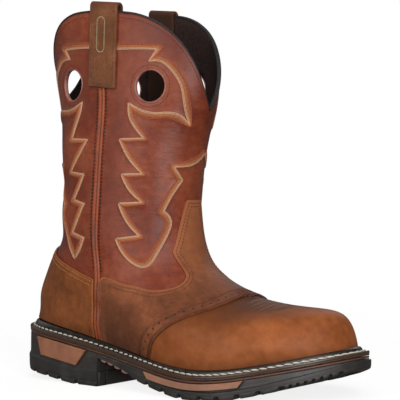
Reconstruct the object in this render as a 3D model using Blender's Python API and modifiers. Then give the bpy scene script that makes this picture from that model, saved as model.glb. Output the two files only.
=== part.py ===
"""Pull-on roper work boot for the right foot: hollow leather upper on a stitched lug sole.

All sizes are in millimetres, measured from the back of the heel, the centre line and the floor.
The toe points along X, the outer (lateral) side faces -Y and the floor is Z = 0.
"""

import math

import bmesh
import bpy
import numpy as np

# Shared sizes
MM = 0.001
CENTRE_X = 154.89
CENTRE_Y = -0.964
GAP = 0.3
WALL = 2.4
WELT_THICK = 3.4
WELT_BEVEL = 0.6
LEDGE_DROP = 0.9
MIDSOLE_THICK = 1.4
SKIN_CLEAR = 0.6
SEAM_CLEAR = 0.7
BEAD_CLEAR = 0.9
OVERLAY_THICK = 1.2
SEAM_HALF = 3.2
SEAM_THICK = 1.7
SEAM_TOP_ROW = 8.86
BEAD_ROW = 0.36
FOOT_ROW = 0.44
SEAM_FOOT_ROW = 0.3
HOLE_RADIUS = 12.0
HOLE_ROUND = 24
HOLE_CUT = 12.0
BREAST_X = 103.0
BREAST_STEP = 0.3
LEDGE_INSET = 13.2
STRAP_THICK = 2.2
STRAP_HALF = 14.0
STRAP_X = 109.0
STRAP_LOW = 226.0
STRAP_LOW_INSIDE = 236.0
STRAP_HIGH = 291.0

# How finely each form is divided, and the angle above which an edge stays sharp
SHARP_ANGLE = math.radians(35)
ROUND_UPPER = 48
WAIST_CROWD = 0.22
ROUND_SOLE = 56
HEEL_STATIONS = 14
FORE_STATIONS = 26
FOOT_ROWS = (0.04, 0.45, 0.9, 1.4, 1.9, 2.5, 3.1, 3.7, 4.2, 4.6, 5, 5.3, 5.6, 5.9, 6.25, 6.6, 7)
SHAFT_RINGS = 6
SEAM_FOOT_RINGS = 14
SEAM_SHAFT_RINGS = 6
STRAP_OUTER_RINGS = 6
STRAP_TURN = 7
STRAP_INNER_RINGS = 4
STRAP_ACROSS = 4

# Edge of the welt: x, y and how far inside it the upper stands
OUTLINE = {
    "heel_back": (2.8, 0, 6.6),
    "heel_lateral": (33, -33.6, 6.8),
    "waist_lateral": (108, -43, 6.5),
    "ball_lateral": (194, -59, 7.0),
    "toe_lateral": (266, -44.5, 8.5),
    "toe_tip": (307, 6, 7.2),
    "toe_medial": (272, 49, 8.5),
    "ball_medial": (220, 54, 7.0),
    "waist_medial": (122, 30, 6.5),
    "heel_medial": (33, 33.2, 6.8),
}

# Height of the welt's top along the foot: x, z
WELT_TOP = [(0, 42.5), (38, 39.4), (93, 32), (161, 21.8), (204, 17.2), (250, 22.2), (312, 35)]

# Underside of the sole: x, z, height of the lug band above it
TREAD = [
    (-4, 6.4, 13), (20, 5.6, 13), (45, 3.6, 12.5), (62, 1.4, 12), (75, 0, 12), (BREAST_X, 0, 12),
    (BREAST_X + BREAST_STEP, 20.4, 1.5), (118, 17.4, 2), (135, 12.8, 3.2), (150, 8.6, 4.4), (165, 5.2, 5.8),
    (178, 2.6, 6.2), (189, 0.7, 6.2), (197, 0, 6.2), (223, 0, 6.2), (238, 2.2, 6.2), (258, 6.4, 6.2),
    (281, 12.9, 6.2), (297, 18.2, 6.2), (314, 24, 6.2),
]

# Loops of the upper from the welt to the collar. Each runs from its back point to its front point, sinks by
# dip between them and has half-breadths at the heel, waist, ball and toe. skew: share of the sole's curve.
LOOPS = {
    # name      back_x  back_z  front_x front_z dip  skew  heel  waist ball  toe
    "wall":    (12.4,   54.0,   296.0,  45.2,   9.0, 1.00, 27.5, 36.0, 51.5, 41.0),
    "roof":    (14.0,   67.0,   287.2,  58.8,  11.0, 0.95, 28.0, 36.0, 50.0, 36.5),
    "toe_top": (20.8,   81.5,   260.0,  62.6,  13.0, 0.85, 28.5, 36.5, 47.0, 40.0),
    "ball":    (30.4,   97.0,   222.6,  66.9,  13.0, 0.65, 29.0, 37.0, 43.0, 37.0),
    "instep":  (40.8,  112.0,   188.4,  79.2,   9.0, 0.40, 29.5, 38.0, 40.5, 31.0),
    "ankle":   (44.8,  127.0,   166.8, 102.6,   3.0, 0.15, 29.0, 39.0, 39.5, 27.5),
    "throat":  (44.6,  146.0,   165.4, 146.0,   0.0, 0.00, 27.5, 39.5, 39.0, 27.0),
    "shaft":   (42.5,  187.0,   173.9, 187.0,   0.0, 0.00, 26.0, 38.0, 37.5, 26.0),
    "holes":   (35.9,  232.0,   186.9, 232.0,   0.0, 0.00, 24.0, 36.0, 35.0, 24.0),
    "top":     (20.4,  292.0,   186.0, 292.0,   0.0, 0.00, 23.0, 35.0, 34.0, 23.0),
}
THROAT_ROW = 7.0
TOP_ROW = 10.0

# Where the ten points of a loop stand: share of its length, share of its dip, side
LOOP_ALONG = (0, 0.10, 0.34, 0.64, 0.88, 1, 0.88, 0.64, 0.34, 0.10)
LOOP_DIP = (0, 0.15, 0.55, 1.0, 0.72, 0, 0.72, 1.0, 0.55, 0.15)
LOOP_SIDE = (0, -1, -1, -1, -1, 0, 1, 1, 1, 1)

# Collar: way round from heel (0) to front (0.5), height
COLLAR = [
    (0, 231), (0.06, 247), (0.13, 272.5), (0.20, 284.8), (0.25, 285.6), (0.30, 284.6), (0.36, 275.5),
    (0.43, 247.5), (0.475, 219), (0.5, 207),
]

# Side seam: row of the loft, way round
SEAM = [(0, 0.191), (0.9, 0.1925), (2.83, 0.2011), (4.3, 0.2195), (5.55, 0.2369), (6.86, 0.2486), (9, 0.243)]

# Counter's top edge: way round, row
COUNTER_TOP = [(0, 4.6), (0.1, 4.36), (0.25, 4.2)]

# Saddle, from the welt to the front centre: round and row of its lower edge, then of its upper edge
SADDLE = [
    (0.2580, 0.21, None, SEAM_FOOT_ROW),
    (0.2657, 1.00, None, 1.60),
    (0.2765, 1.65, None, 3.00),
    (0.2930, 2.24, None, 4.45),
    (0.3270, 3.15, 0.270, 4.68),
    (0.3570, 3.62, 0.307, 4.83),
    (0.3830, 3.79, 0.345, 4.89),
    (0.4020, 3.87, 0.376, 4.91),
    (0.4180, 3.93, 0.407, 5.06),
    (0.4320, 3.99, 0.430, 5.34),
    (0.4470, 4.08, 0.434, 5.82),
    (0.4620, 4.17, 0.438, 6.12),
    (0.4750, 4.23, 0.451, 6.36),
    (0.4880, 4.25, 0.476, 6.87),
    (0.5000, 4.25, 0.500, 6.90),
]
SADDLE_ACROSS = 6
SADDLE_FINER = np.arange(0, 10)
COUNTER_ROUND = 34
COUNTER_UP = 5

# Pull holes: x, z
HOLES = {"back": (73.5, 230.0), "front": (149.5, 225.0)}

# Tan inlays: x from and to along the top edge, then along the lower edge, height, depth, steps
INLAYS = {"heel": (34.5, 91.5, 39.5, 80, 13.8, 2.2, 8), "forefoot": (159, 247, 163, 243, 4.4, 2.2, 12)}
INLAY_DROP = 0.0
INLAY_PROUD = 0.4
POCKET_REACH = 4.0

# Gaps between the lugs: x along the edge, width, reach inward, height
LUG_GAPS = [
    (10, 3.0, 9, 4.6), (28, 3.0, 9, 4.6), (45, 3.0, 9, 4.6), (60, 3.0, 9, 4.6), (79, 3.2, 9, 4.6),
    (161, 3.2, 15, 4.8), (178, 3.2, 15, 4.8), (195, 3.4, 15, 4.8), (213, 3.4, 15, 4.8),
    (227, 3.4, 15, 4.8), (242, 3.4, 15, 4.8), (256, 3.2, 15, 4.8), (270, 3.2, 15, 4.8),
]

LUG_CUT_BELOW = 8.0
LUG_CUT_BEYOND = 6.0

# Side of the outsole: how far each level stands out beyond the welt, and the bevels of the lug band
SOLE_TOP_FLARE = -0.4
SOLE_STEP_FLARE = 0.3
SOLE_BAND_FLARE = 1.2
SOLE_EDGE_FLARE = -0.3
BAND_BEVEL = 0.7
BAND_BELOW_TOP = 0.6
MIDSOLE_INSET = 0.4

# Bead of the welt against the upper: row of the loft, distance off the upper, rise over the welt if any
BEAD = [
    (0.05, 2.9, 0.3), (0.22, 2.3, None), (0.34, 1.4, None), (BEAD_ROW, BEAD_CLEAR, None),
    (0.05, BEAD_CLEAR, -LEDGE_DROP),
]

# Height of the bead over the welt along the foot: x, height
BEAD_HIGH = [(0, 4.5), (60, 4.5), (110, 4.2), (200, 3.4), (260, 3.4), (312, 3.9)]

# Colours
BLACK_RUBBER = (0.018, 0.018, 0.019)
TAN_RUBBER = (0.36, 0.19, 0.10)
BROWN_MIDSOLE = (0.075, 0.032, 0.022)
RED_LEATHER = (0.24, 0.075, 0.045)
TAN_LEATHER = (0.34, 0.14, 0.055)
STRAP_LEATHER = (0.23, 0.115, 0.065)
PIPING_LEATHER = (0.36, 0.13, 0.055)
FELT = (0.16, 0.12, 0.09)


def clear_scene():
    for thing in list(bpy.data.objects):
        bpy.data.objects.remove(thing, do_unlink=True)


def weights(knots, at, closed=False):
    """Rows of weights that turn values at the knots into a cubic spline's values at the given places."""
    knots = np.asarray(knots, float)
    at = np.asarray(at, float)
    count = len(knots)
    step = np.diff(knots)
    left = np.zeros((count, count))
    right = np.zeros((count, count))
    for i in range(1, count - 1):
        left[i, i - 1:i + 2] = step[i - 1], 2 * (step[i - 1] + step[i]), step[i]
        right[i, i - 1:i + 2] = 6 / step[i - 1], -6 / step[i - 1] - 6 / step[i], 6 / step[i]
    left[0, 0] = 1
    left[-1, -1] = 1
    if closed:
        left[0, -1] = -1
        left[-1, 1], left[-1, -2], left[-1, -1] = step[0], step[-1], 2 * (step[-1] + step[0])
        right[-1, 0], right[-1, 1] = -6 / step[0], 6 / step[0]
        right[-1, -2], right[-1, -1] = 6 / step[-1], -6 / step[-1]
    bend = np.linalg.solve(left, right)
    k = np.clip(np.searchsorted(knots, at, "right") - 1, 0, count - 2)
    h = step[k]
    b = (at - knots[k]) / h
    a = 1 - b
    unit = np.eye(count)
    straight = a[:, None] * unit[k] + b[:, None] * unit[k + 1]
    before = ((a**3 - a) * h * h / 6)[:, None] * bend[k]
    after = ((b**3 - b) * h * h / 6)[:, None] * bend[k + 1]
    return straight + before + after


def spline(table, at):
    """A smooth curve through a table's rows: first column to the rest."""
    rows = np.array(table, float)
    return weights(rows[:, 0], np.atleast_1d(at)) @ rows[:, 1:]


OUTLINE_ROWS = np.array(list(OUTLINE.values()), float)
ROUND_KNOTS = np.linspace(0, 1, len(OUTLINE_ROWS) + 1)


def round_weights(u):
    return weights(ROUND_KNOTS, np.atleast_1d(u) % 1, closed=True)


def edge(u, inset):
    """Points of the sole's outline moved inward: u runs from the heel's back by the lateral side."""
    rows = np.vstack([OUTLINE_ROWS, OUTLINE_ROWS[:1]])[:, :2]
    at = round_weights(u) @ rows
    along = round_weights(np.atleast_1d(u) + 1e-4) @ rows - round_weights(np.atleast_1d(u) - 1e-4) @ rows
    along /= np.linalg.norm(along, axis=1)[:, None]
    return at + np.reshape(inset, (-1, 1)) * np.column_stack([-along[:, 1], along[:, 0]])


def welt_top(x):
    return spline(WELT_TOP, x)[:, 0]


def sole_top(x):
    return welt_top(x) - WELT_THICK - MIDSOLE_THICK - 2 * GAP


def tread(x):
    rows = np.array(TREAD)
    return np.interp(x, rows[:, 0], rows[:, 1]), np.interp(x, rows[:, 0], rows[:, 2])


def loop_points():
    """Control points of the upper's loops: row, way round, xyz. The first row lies on the welt."""
    along, dip_share, side = np.array(LOOP_ALONG), np.array(LOOP_DIP), np.array(LOOP_SIDE)
    foot = edge(np.arange(10) / 10, OUTLINE_ROWS[:, 2])
    curve = (foot[:, 1] + foot[-np.arange(10), 1]) / 2
    rows = [np.column_stack([foot, welt_top(foot[:, 0])])]
    for back_x, back_z, front_x, front_z, dip, skew, heel, waist, ball, toe in LOOPS.values():
        half = np.array([0, heel, waist, ball, toe, 0, toe, ball, waist, heel])
        x = back_x + (front_x - back_x) * along
        z = back_z + (front_z - back_z) * along - dip * dip_share
        rows.append(np.column_stack([x, side * half + skew * curve, z]))
    rows = np.array(rows)
    return np.concatenate([rows, rows[:, :1]], axis=1)


LOOP_POINTS = loop_points()
ROW_KNOTS = np.arange(len(LOOP_POINTS))


def skin(u, row, off=0.0):
    """Points of the upper's outer face: way round, row of the loft and distance off the face."""
    u, row = np.broadcast_arrays(np.asarray(u, float), np.asarray(row, float))

    def face(u, row):
        return np.einsum("nr,nu,ruk->nk", weights(ROW_KNOTS, row), round_weights(u), LOOP_POINTS)

    at = face(u, row)
    if off:
        out = np.cross(face(u + 1e-4, row) - face(u - 1e-4, row), face(u, row + 1e-3) - face(u, row - 1e-3))
        at = at + off * out / np.linalg.norm(out, axis=1)[:, None]
    return at


def row_at_height(u, z):
    """The row at which the shaft's wall reaches a height."""
    rows = np.linspace(THROAT_ROW - 0.5, TOP_ROW, 60)
    found = []
    for each, height in zip(np.atleast_1d(u), np.atleast_1d(z)):
        found.append(np.interp(height, skin(np.full(60, each), rows)[:, 2], rows))
    return np.array(found)


def round_at_x(x, row, side):
    """The way round at which a loop reaches x on one side: -1 lateral, 1 medial."""
    u = np.linspace(0.02, 0.48, 200)
    u = u if side < 0 else 1 - u
    return np.interp(x, skin(u, np.full(200, row))[:, 0], u)


def collar_row(u):
    half = np.minimum(np.asarray(u) % 1, 1 - np.asarray(u) % 1)
    return row_at_height(u, spline(COLLAR, half)[:, 0])


def seam_round(row):
    return spline(SEAM, row)[:, 0]


def seam_share(row, distance):
    """How much of the way round a distance across the seam is."""
    u = seam_round(row)
    return distance / (np.linalg.norm(skin(u + 0.005, row) - skin(u - 0.005, row), axis=1) / 0.01)


def bead_scale(u):
    """Share of the bead's rows at which its top reaches its height, for each way round."""
    low, high = skin(u, np.zeros(len(u))), skin(u, np.full(len(u), BEAD_ROW))
    return spline(BEAD_HIGH, low[:, 0])[:, 0] / (high[:, 2] - low[:, 2])


def material(name, colour, rough):
    made = bpy.data.materials.new(name)
    made.use_nodes = True
    shader = made.node_tree.nodes["Principled BSDF"]
    shader.inputs["Base Color"].default_value = (*colour, 1)
    shader.inputs["Roughness"].default_value = rough
    return made


def place(points):
    return (np.asarray(points) - (CENTRE_X, CENTRE_Y, 0)) * MM


def put(name, points, faces, collection, look=None):
    mesh = bpy.data.meshes.new(name)
    mesh.from_pydata(place(points).tolist(), [], faces)
    mesh.validate()
    mesh.shade_smooth()
    mesh.set_sharp_from_angle(angle=SHARP_ANGLE)
    made = bpy.data.objects.new(name, mesh)
    collection.objects.link(made)
    if look:
        mesh.materials.append(look)
    return made


def helper(name, points, faces):
    made = put(name, points, faces, HELPERS)
    made.hide_render = True
    made.display_type = "WIRE"
    return made


def net(rings, closed):
    """Points and quads of a loft through rings of equal count."""
    rings = [np.asarray(ring) for ring in rings]
    count = len(rings[0])
    faces = []
    for j in range(len(rings) - 1):
        for i in range(count if closed else count - 1):
            k = (i + 1) % count
            faces.append((j * count + i, j * count + k, (j + 1) * count + k, (j + 1) * count + i))
    return np.concatenate(rings), faces


def thicken(made, thick, offset):
    wall = made.modifiers.new("wall", "SOLIDIFY")
    wall.thickness = thick * MM
    wall.offset = offset
    wall.use_even_offset = True


def cut(made, cutter):
    hole = made.modifiers.new(cutter.name, "BOOLEAN")
    hole.operation = "DIFFERENCE"
    hole.solver = "EXACT"
    hole.object = cutter


def stations(first, last):
    """X stations of a sole layer, close together at the heel's back, the breast and the toe."""
    heel = 1 - np.cos(np.linspace(0, math.pi / 2, HEEL_STATIONS))
    fore = np.sin(np.linspace(0, math.pi / 2, FORE_STATIONS))
    breast = BREAST_X + BREAST_STEP
    return np.concatenate([first + (BREAST_X - first) * heel, breast + (last - breast) * fore])


def edge_curve(inset):
    """Lateral and medial halves of the moved outline, each from heel to toe."""
    u = np.arange(2000) / 2000
    at = edge(u, np.full(2000, inset))
    heel, toe = np.argmin(at[:, 0]), np.argmax(at[:, 0])
    at = np.roll(at, -heel, axis=0)
    toe = (toe - heel) % 2000
    return at[:toe + 1], np.vstack([at[toe:], at[:1]])[::-1]


def edge_y(x, inset, side):
    half = edge_curve(inset)[0 if side < 0 else 1]
    return np.interp(x, half[:, 0], half[:, 1])


def sole_ring(inset, height):
    """A ring of a sole layer: lateral side heel to toe, then medial side back, with a height from each x."""
    lateral, medial = edge_curve(inset)
    x = stations(lateral[0, 0], lateral[-1, 0])
    y = [np.interp(x, half[:, 0], half[:, 1]) for half in (lateral, medial)]
    z = height(x)
    there = np.column_stack([x, y[0], z])
    back = np.column_stack([x, y[1], z])[-2:0:-1]
    return np.vstack([there, back])


def capped(rings):
    """Points and faces of a sole layer from its top ring to its bottom ring, capped by strips across."""
    points, faces = net(rings[::-1], True)
    count = len(rings[0])
    half = count // 2
    top = (len(rings) - 1) * count
    for i in range(half):
        strip = [i, i + 1, count - i - 1, (count - i) % count]
        strip = [k for n, k in enumerate(strip) if k not in strip[:n]]
        faces.append([top + k for k in strip])
        faces.append(strip[::-1])
    return points, faces


def bar(sections):
    """Points and faces of a bar lofted through four-cornered sections, closed at both ends."""
    points, faces = net(sections, True)
    last = len(points) - 4
    return points, faces + [(3, 2, 1, 0), (last, last + 1, last + 2, last + 3)]


def outward(made):
    """Turns every face of a mesh outward."""
    shape = bmesh.new()
    shape.from_mesh(made.data)
    bmesh.ops.recalc_face_normals(shape, faces=shape.faces)
    shape.to_mesh(made.data)
    shape.free()
    return made


def inlay(kind, side, slack):
    """A tan inlay, or with some slack the pocket cut for it."""
    top_from, top_to, low_from, low_to, height, depth, steps = INLAYS[kind]
    proud = INLAY_PROUD + (POCKET_REACH if slack else 0)
    sections = []
    for t in np.linspace(0, 1, steps + 1):
        reach = slack * (2 * t - 1)
        top = top_from + (top_to - top_from) * t + reach
        low = low_from + (low_to - low_from) * t + reach
        high_z = sole_top([top])[0] - INLAY_DROP + slack
        low_z = sole_top([low])[0] - INLAY_DROP - height - slack
        inner = depth + slack
        corners = [(top, -proud, high_z), (top, inner, high_z), (low, inner, low_z), (low, -proud, low_z)]
        sections.append([(x, edge_y(x, inset, side), z) for x, inset, z in corners])
    return bar(sections)


def lug_gap_boxes():
    """One mesh of boxes that part the lugs along both edges."""
    points, faces = [], []
    for x, width, reach, height in LUG_GAPS:
        for side in (-1, 1):
            here = np.array([x, edge_y(x, 0, side)])
            along = np.array([x + 1, edge_y(x + 1, 0, side)]) - here
            along /= np.linalg.norm(along)
            inward = np.array([-along[1], along[0]]) * -side
            floor = tread(x)[0]
            first = len(points)
            for z in (floor - LUG_CUT_BELOW, floor + height):
                for a, b in ((-1, -LUG_CUT_BEYOND), (1, -LUG_CUT_BEYOND), (1, reach), (-1, reach)):
                    points.append((*(here + along * a * width / 2 + inward * b), z))
            for face in ((0, 3, 2, 1), (4, 5, 6, 7), (0, 1, 5, 4), (1, 2, 6, 5), (2, 3, 7, 6), (3, 0, 4, 7)):
                faces.append([first + k for k in face])
    return points, faces


clear_scene()
BOOT = bpy.data.collections.new("roper_boot")
HELPERS = bpy.data.collections.new("helpers")
bpy.context.scene.collection.children.link(BOOT)
bpy.context.scene.collection.children.link(HELPERS)


# Outsole, with its lug gaps and the pockets of the inlays
def band_top(x):
    return tread(x)[0] + tread(x)[1]


def band_shoulder(x):
    return np.minimum(band_top(x) + BAND_BEVEL, sole_top(x) - BAND_BELOW_TOP)


def band_corner(x):
    return tread(x)[0] + BAND_BEVEL


def sole_floor(x):
    return tread(x)[0]


sole_rings = [
    sole_ring(-SOLE_TOP_FLARE, sole_top),
    sole_ring(-SOLE_STEP_FLARE, band_shoulder),
    sole_ring(-SOLE_BAND_FLARE, band_top),
    sole_ring(-SOLE_BAND_FLARE, band_corner),
    sole_ring(-SOLE_EDGE_FLARE, sole_floor),
]
outsole = outward(put("outsole", *capped(sole_rings), BOOT, material("black_rubber", BLACK_RUBBER, 0.6)))
cut(outsole, outward(helper("lug_gaps", *lug_gap_boxes())))
tan_rubber = material("tan_rubber", TAN_RUBBER, 0.55)
for kind in INLAYS:
    for side, name in ((-1, "lateral"), (1, "medial")):
        cut(outsole, outward(helper(f"{kind}_pocket_{name}", *inlay(kind, side, GAP))))
        outward(put(f"{kind}_insert_{name}", *inlay(kind, side, 0), BOOT, tan_rubber))


# Midsole and insole plates
def midsole_top(x):
    return welt_top(x) - WELT_THICK - GAP


def midsole_low(x):
    return midsole_top(x) - MIDSOLE_THICK


def insole_top(x):
    return welt_top(x) - GAP


def insole_low(x):
    return welt_top(x) - WELT_THICK


midsole_rings = [sole_ring(MIDSOLE_INSET, midsole_top), sole_ring(MIDSOLE_INSET, midsole_low)]
outward(put("midsole", *capped(midsole_rings), BOOT, material("brown_midsole", BROWN_MIDSOLE, 0.5)))
insole_rings = [sole_ring(LEDGE_INSET + GAP, insole_top), sole_ring(LEDGE_INSET + GAP, insole_low)]
outward(put("insole", *capped(insole_rings), BOOT, material("felt", FELT, 0.9)))

# Welt: a flat strip round the edge with a bead standing up against the upper
around = np.arange(ROUND_SOLE) / ROUND_SOLE


def welt_line(inset, rise):
    at = edge(around, np.full(ROUND_SOLE, inset))
    return np.column_stack([at, welt_top(at[:, 0]) + rise])


def bead_line(row, off, rise):
    at = skin(around, row * bead_scale(around), off)
    if rise is not None:
        at[:, 2] = welt_top(at[:, 0]) + rise
    return at


rings = [welt_line(0, -WELT_THICK), welt_line(0, -WELT_BEVEL), welt_line(WELT_BEVEL, 0)]
rings += [bead_line(*step) for step in BEAD]
rings += [welt_line(LEDGE_INSET, -LEDGE_DROP), welt_line(LEDGE_INSET, -WELT_THICK)]
points, faces = net(rings, True)
last = (len(rings) - 1) * ROUND_SOLE
faces += [(last + i, last + (i + 1) % ROUND_SOLE, (i + 1) % ROUND_SOLE, i) for i in range(ROUND_SOLE)]
outward(put("welt", points, faces, BOOT, material("black_welt", BLACK_RUBBER, 0.5)))

# Upper: one wall from the welt to the collar, with four pull holes through it
around = np.arange(ROUND_UPPER) / ROUND_UPPER
around = around + WAIST_CROWD * np.sin(4 * math.pi * around) / (4 * math.pi)
collar = collar_row(around)
rings = [skin(around, np.full(ROUND_UPPER, row)) for row in FOOT_ROWS]
for share in np.linspace(0, 1, SHAFT_RINGS + 1)[1:]:
    rings.append(skin(around, THROAT_ROW + (collar - THROAT_ROW) * share))
upper = put("upper", *net(rings, True), BOOT, material("red_leather", RED_LEATHER, 0.45))
thicken(upper, WALL, -1)
for kind, (hole_x, hole_z) in HOLES.items():
    for side, name in ((-1, "lateral"), (1, "medial")):
        row = row_at_height([0.25], [hole_z])
        u = np.array([round_at_x(hole_x, row[0], side)])
        middle = skin(u, row)[0]
        axis = skin(u, row, 1)[0] - middle
        axis[2] = 0
        axis /= np.linalg.norm(axis)
        flat = np.array([-axis[1], axis[0], 0])
        turn = np.linspace(0, 2 * math.pi, HOLE_ROUND, endpoint=False)[:, None]
        rim = middle + HOLE_RADIUS * (np.cos(turn) * flat + np.sin(turn) * np.array([0, 0, 1]))
        points, faces = net([rim - HOLE_CUT * axis, rim + HOLE_CUT * axis], True)
        faces += [tuple(range(HOLE_ROUND))[::-1], tuple(range(HOLE_ROUND, 2 * HOLE_ROUND))]
        cut(upper, outward(helper(f"{kind}_hole_{name}", points, faces)))

# Saddle over the instep, from one side seam to the other
low = np.array([(u, row) for u, row, _, _ in SADDLE])
high = []
for _, _, u, row in SADDLE:
    beside = seam_round(row) + seam_share(np.array([row]), SEAM_HALF + SEAM_CLEAR)
    high.append((u if u else beside[0], row))
high = np.array(high)
count = np.arange(len(SADDLE))
finer = np.sort(np.concatenate([count, SADDLE_FINER + 0.5]))
low, high = [np.column_stack([np.interp(finer, count, side) for side in part.T]) for part in (low, high)]
rings = []
for share in np.linspace(0, 1, SADDLE_ACROSS + 1):
    half = low + (high - low) * share
    other = half[-2::-1] * (-1, 1) + (1, 0)
    whole = np.vstack([half, other])
    rings.append(skin(whole[:, 0], whole[:, 1], SKIN_CLEAR))
saddle = put("saddle", *net(rings, False), BOOT, material("tan_leather", TAN_LEATHER, 0.4))
thicken(saddle, OVERLAY_THICK, 1)

# Counter round the heel
rings = []
for share in np.linspace(0, 1, COUNTER_UP + 1):
    side = np.linspace(-1, 1, COUNTER_ROUND + 1)
    row = np.full(len(side), FOOT_ROW)
    for _ in range(3):
        reach = seam_round(row) - seam_share(row, SEAM_HALF + SEAM_CLEAR)
        top = spline(COUNTER_TOP, np.abs(side) * reach)[:, 0]
        foot = FOOT_ROW * bead_scale(side * reach)
        row = foot + (top - foot) * share
    rings.append(skin(side * reach, row, SKIN_CLEAR))
counter = put("counter", *net(rings, False), BOOT, material("tan_leather_heel", TAN_LEATHER, 0.4))
thicken(counter, OVERLAY_THICK, 1)

# Raised side seams
piping = material("piping", PIPING_LEATHER, 0.45)
row = np.linspace(SEAM_FOOT_ROW, THROAT_ROW, SEAM_FOOT_RINGS)
row = np.concatenate([row, np.linspace(THROAT_ROW, SEAM_TOP_ROW, SEAM_SHAFT_RINGS)[1:]])
for side, name in ((-1, "lateral"), (1, "medial")):
    rings = []
    for across in (-1, 0, 1):
        u = seam_round(row) + across * seam_share(row, SEAM_HALF)
        rings.append(skin(u if side < 0 else 1 - u, row, SKIN_CLEAR))
    seam = put(f"side_seam_{name}", *net(rings[::-1] if side < 0 else rings, False), BOOT, piping)
    thicken(seam, SEAM_THICK, 1)

# Pull straps: up the outside, over the collar and down the inside
strap_leather = material("strap_leather", STRAP_LEATHER, 0.7)
outside = SKIN_CLEAR + STRAP_THICK / 2
inside = -WALL - SKIN_CLEAR - STRAP_THICK / 2
turn_radius = (outside - inside) / 2
turn_z = STRAP_HIGH - STRAP_THICK / 2 - turn_radius
path = [(outside, z) for z in np.linspace(STRAP_LOW, turn_z, STRAP_OUTER_RINGS)]
middle = (outside + inside) / 2
for angle in np.linspace(0, math.pi, STRAP_TURN)[1:-1]:
    path.append((middle + turn_radius * math.cos(angle), turn_z + turn_radius * math.sin(angle)))
path += [(inside, z) for z in np.linspace(turn_z, STRAP_LOW_INSIDE, STRAP_INNER_RINGS)]
for side, name in ((-1, "lateral"), (1, "medial")):
    rings = []
    for off, z in path:
        row = row_at_height([0.25], [min(z, turn_z)])[0]
        ring = []
        for x in np.linspace(STRAP_X - STRAP_HALF, STRAP_X + STRAP_HALF, STRAP_ACROSS):
            at = skin([round_at_x(x, row, side)], [row])[0]
            ring.append((x, at[1] + side * off, z))
        rings.append(ring)
    strap = put(f"pull_strap_{name}", *net(rings if side < 0 else rings[::-1], False), BOOT, strap_leather)
    thicken(strap, STRAP_THICK, 0)
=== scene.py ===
import math

import bmesh
import bpy
import numpy as np
from mathutils import Matrix, Vector
from mathutils.kdtree import KDTree


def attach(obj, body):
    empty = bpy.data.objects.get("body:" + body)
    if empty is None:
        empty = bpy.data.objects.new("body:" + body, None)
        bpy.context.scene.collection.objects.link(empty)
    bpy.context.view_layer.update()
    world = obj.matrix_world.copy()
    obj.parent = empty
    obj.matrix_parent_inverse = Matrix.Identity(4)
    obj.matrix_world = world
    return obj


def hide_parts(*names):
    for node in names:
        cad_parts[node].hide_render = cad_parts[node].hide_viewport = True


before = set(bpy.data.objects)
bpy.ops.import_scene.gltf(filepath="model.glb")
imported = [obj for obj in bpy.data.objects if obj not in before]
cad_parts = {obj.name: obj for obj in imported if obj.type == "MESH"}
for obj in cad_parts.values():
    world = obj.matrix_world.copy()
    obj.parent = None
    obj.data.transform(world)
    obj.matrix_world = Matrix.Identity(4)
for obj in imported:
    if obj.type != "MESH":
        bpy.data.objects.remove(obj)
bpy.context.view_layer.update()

# Footbed. A felt-faced board cut to the sole of the last, on which the foot stands inside the boot.
# The lip of the welt is sewn round it, so it stops a little short of the upper's wall.
FELT_BROWNS = ((0.060, 0.044, 0.035), (0.130, 0.100, 0.080))
FOOTBED_GRID = (120, 24)
FOOTBED_INSET = 13.5
FOOTBED_THICK = 3.0
MM = 0.001
MERGE = 1e-6
INWARD = -1
BOTH_WAYS = 0
OUTWARD = 1

# Gap that keeps pieces that lie on each other from touching
HAIR = 0.3

# The boot is drawn in millimetres, and this point of the drawing is the frame's origin
MIDDLE = np.array([154.89, -0.964, 0.0])

# Edge of the welt, from the heel's back by the outer side: x, y and how far inside it the upper stands
WELT_EDGE = {
    "heel_back": (2.8, 0, 6.6),
    "heel_outer": (33, -33.6, 6.8),
    "waist_outer": (108, -43, 6.5),
    "ball_outer": (194, -59, 7.0),
    "toe_outer": (266, -44.5, 8.5),
    "toe_tip": (307, 6, 7.2),
    "toe_inner": (272, 49, 8.5),
    "ball_inner": (220, 54, 7.0),
    "waist_inner": (122, 30, 6.5),
    "heel_inner": (33, 33.2, 6.8),
}
EDGE_ROWS = np.array(list(WELT_EDGE.values()), float)
EDGE_KNOTS = np.linspace(0, 1, len(EDGE_ROWS) + 1)
EDGE_COUNT = 2400
ROUND_STEP = 1e-4

# Top of the welt along the foot: x, z
WELT_TOP = [(0, 42.5), (38, 39.4), (93, 32), (161, 21.8), (204, 17.2), (250, 22.2), (312, 35)]


def weights(knots, at, closed=False):
    """Rows of weights that turn values at the knots into a cubic spline's values at the given places."""
    knots = np.asarray(knots, float)
    at = np.asarray(at, float)
    count = len(knots)
    step = np.diff(knots)
    left = np.zeros((count, count))
    right = np.zeros((count, count))
    for i in range(1, count - 1):
        left[i, i - 1:i + 2] = step[i - 1], 2 * (step[i - 1] + step[i]), step[i]
        right[i, i - 1:i + 2] = 6 / step[i - 1], -6 / step[i - 1] - 6 / step[i], 6 / step[i]
    left[0, 0] = 1
    left[-1, -1] = 1
    if closed:
        left[0, -1] = -1
        left[-1, 1], left[-1, -2], left[-1, -1] = step[0], step[-1], 2 * (step[-1] + step[0])
        right[-1, 0], right[-1, 1] = -6 / step[0], 6 / step[0]
        right[-1, -2], right[-1, -1] = 6 / step[-1], -6 / step[-1]
    bend = np.linalg.solve(left, right)
    k = np.clip(np.searchsorted(knots, at, "right") - 1, 0, count - 2)
    h = step[k]
    b = (at - knots[k]) / h
    a = 1 - b
    single = np.eye(count)
    straight = a[:, None] * single[k] + b[:, None] * single[k + 1]
    before = ((a**3 - a) * h * h / 6)[:, None] * bend[k]
    after = ((b**3 - b) * h * h / 6)[:, None] * bend[k + 1]
    return straight + before + after


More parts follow.
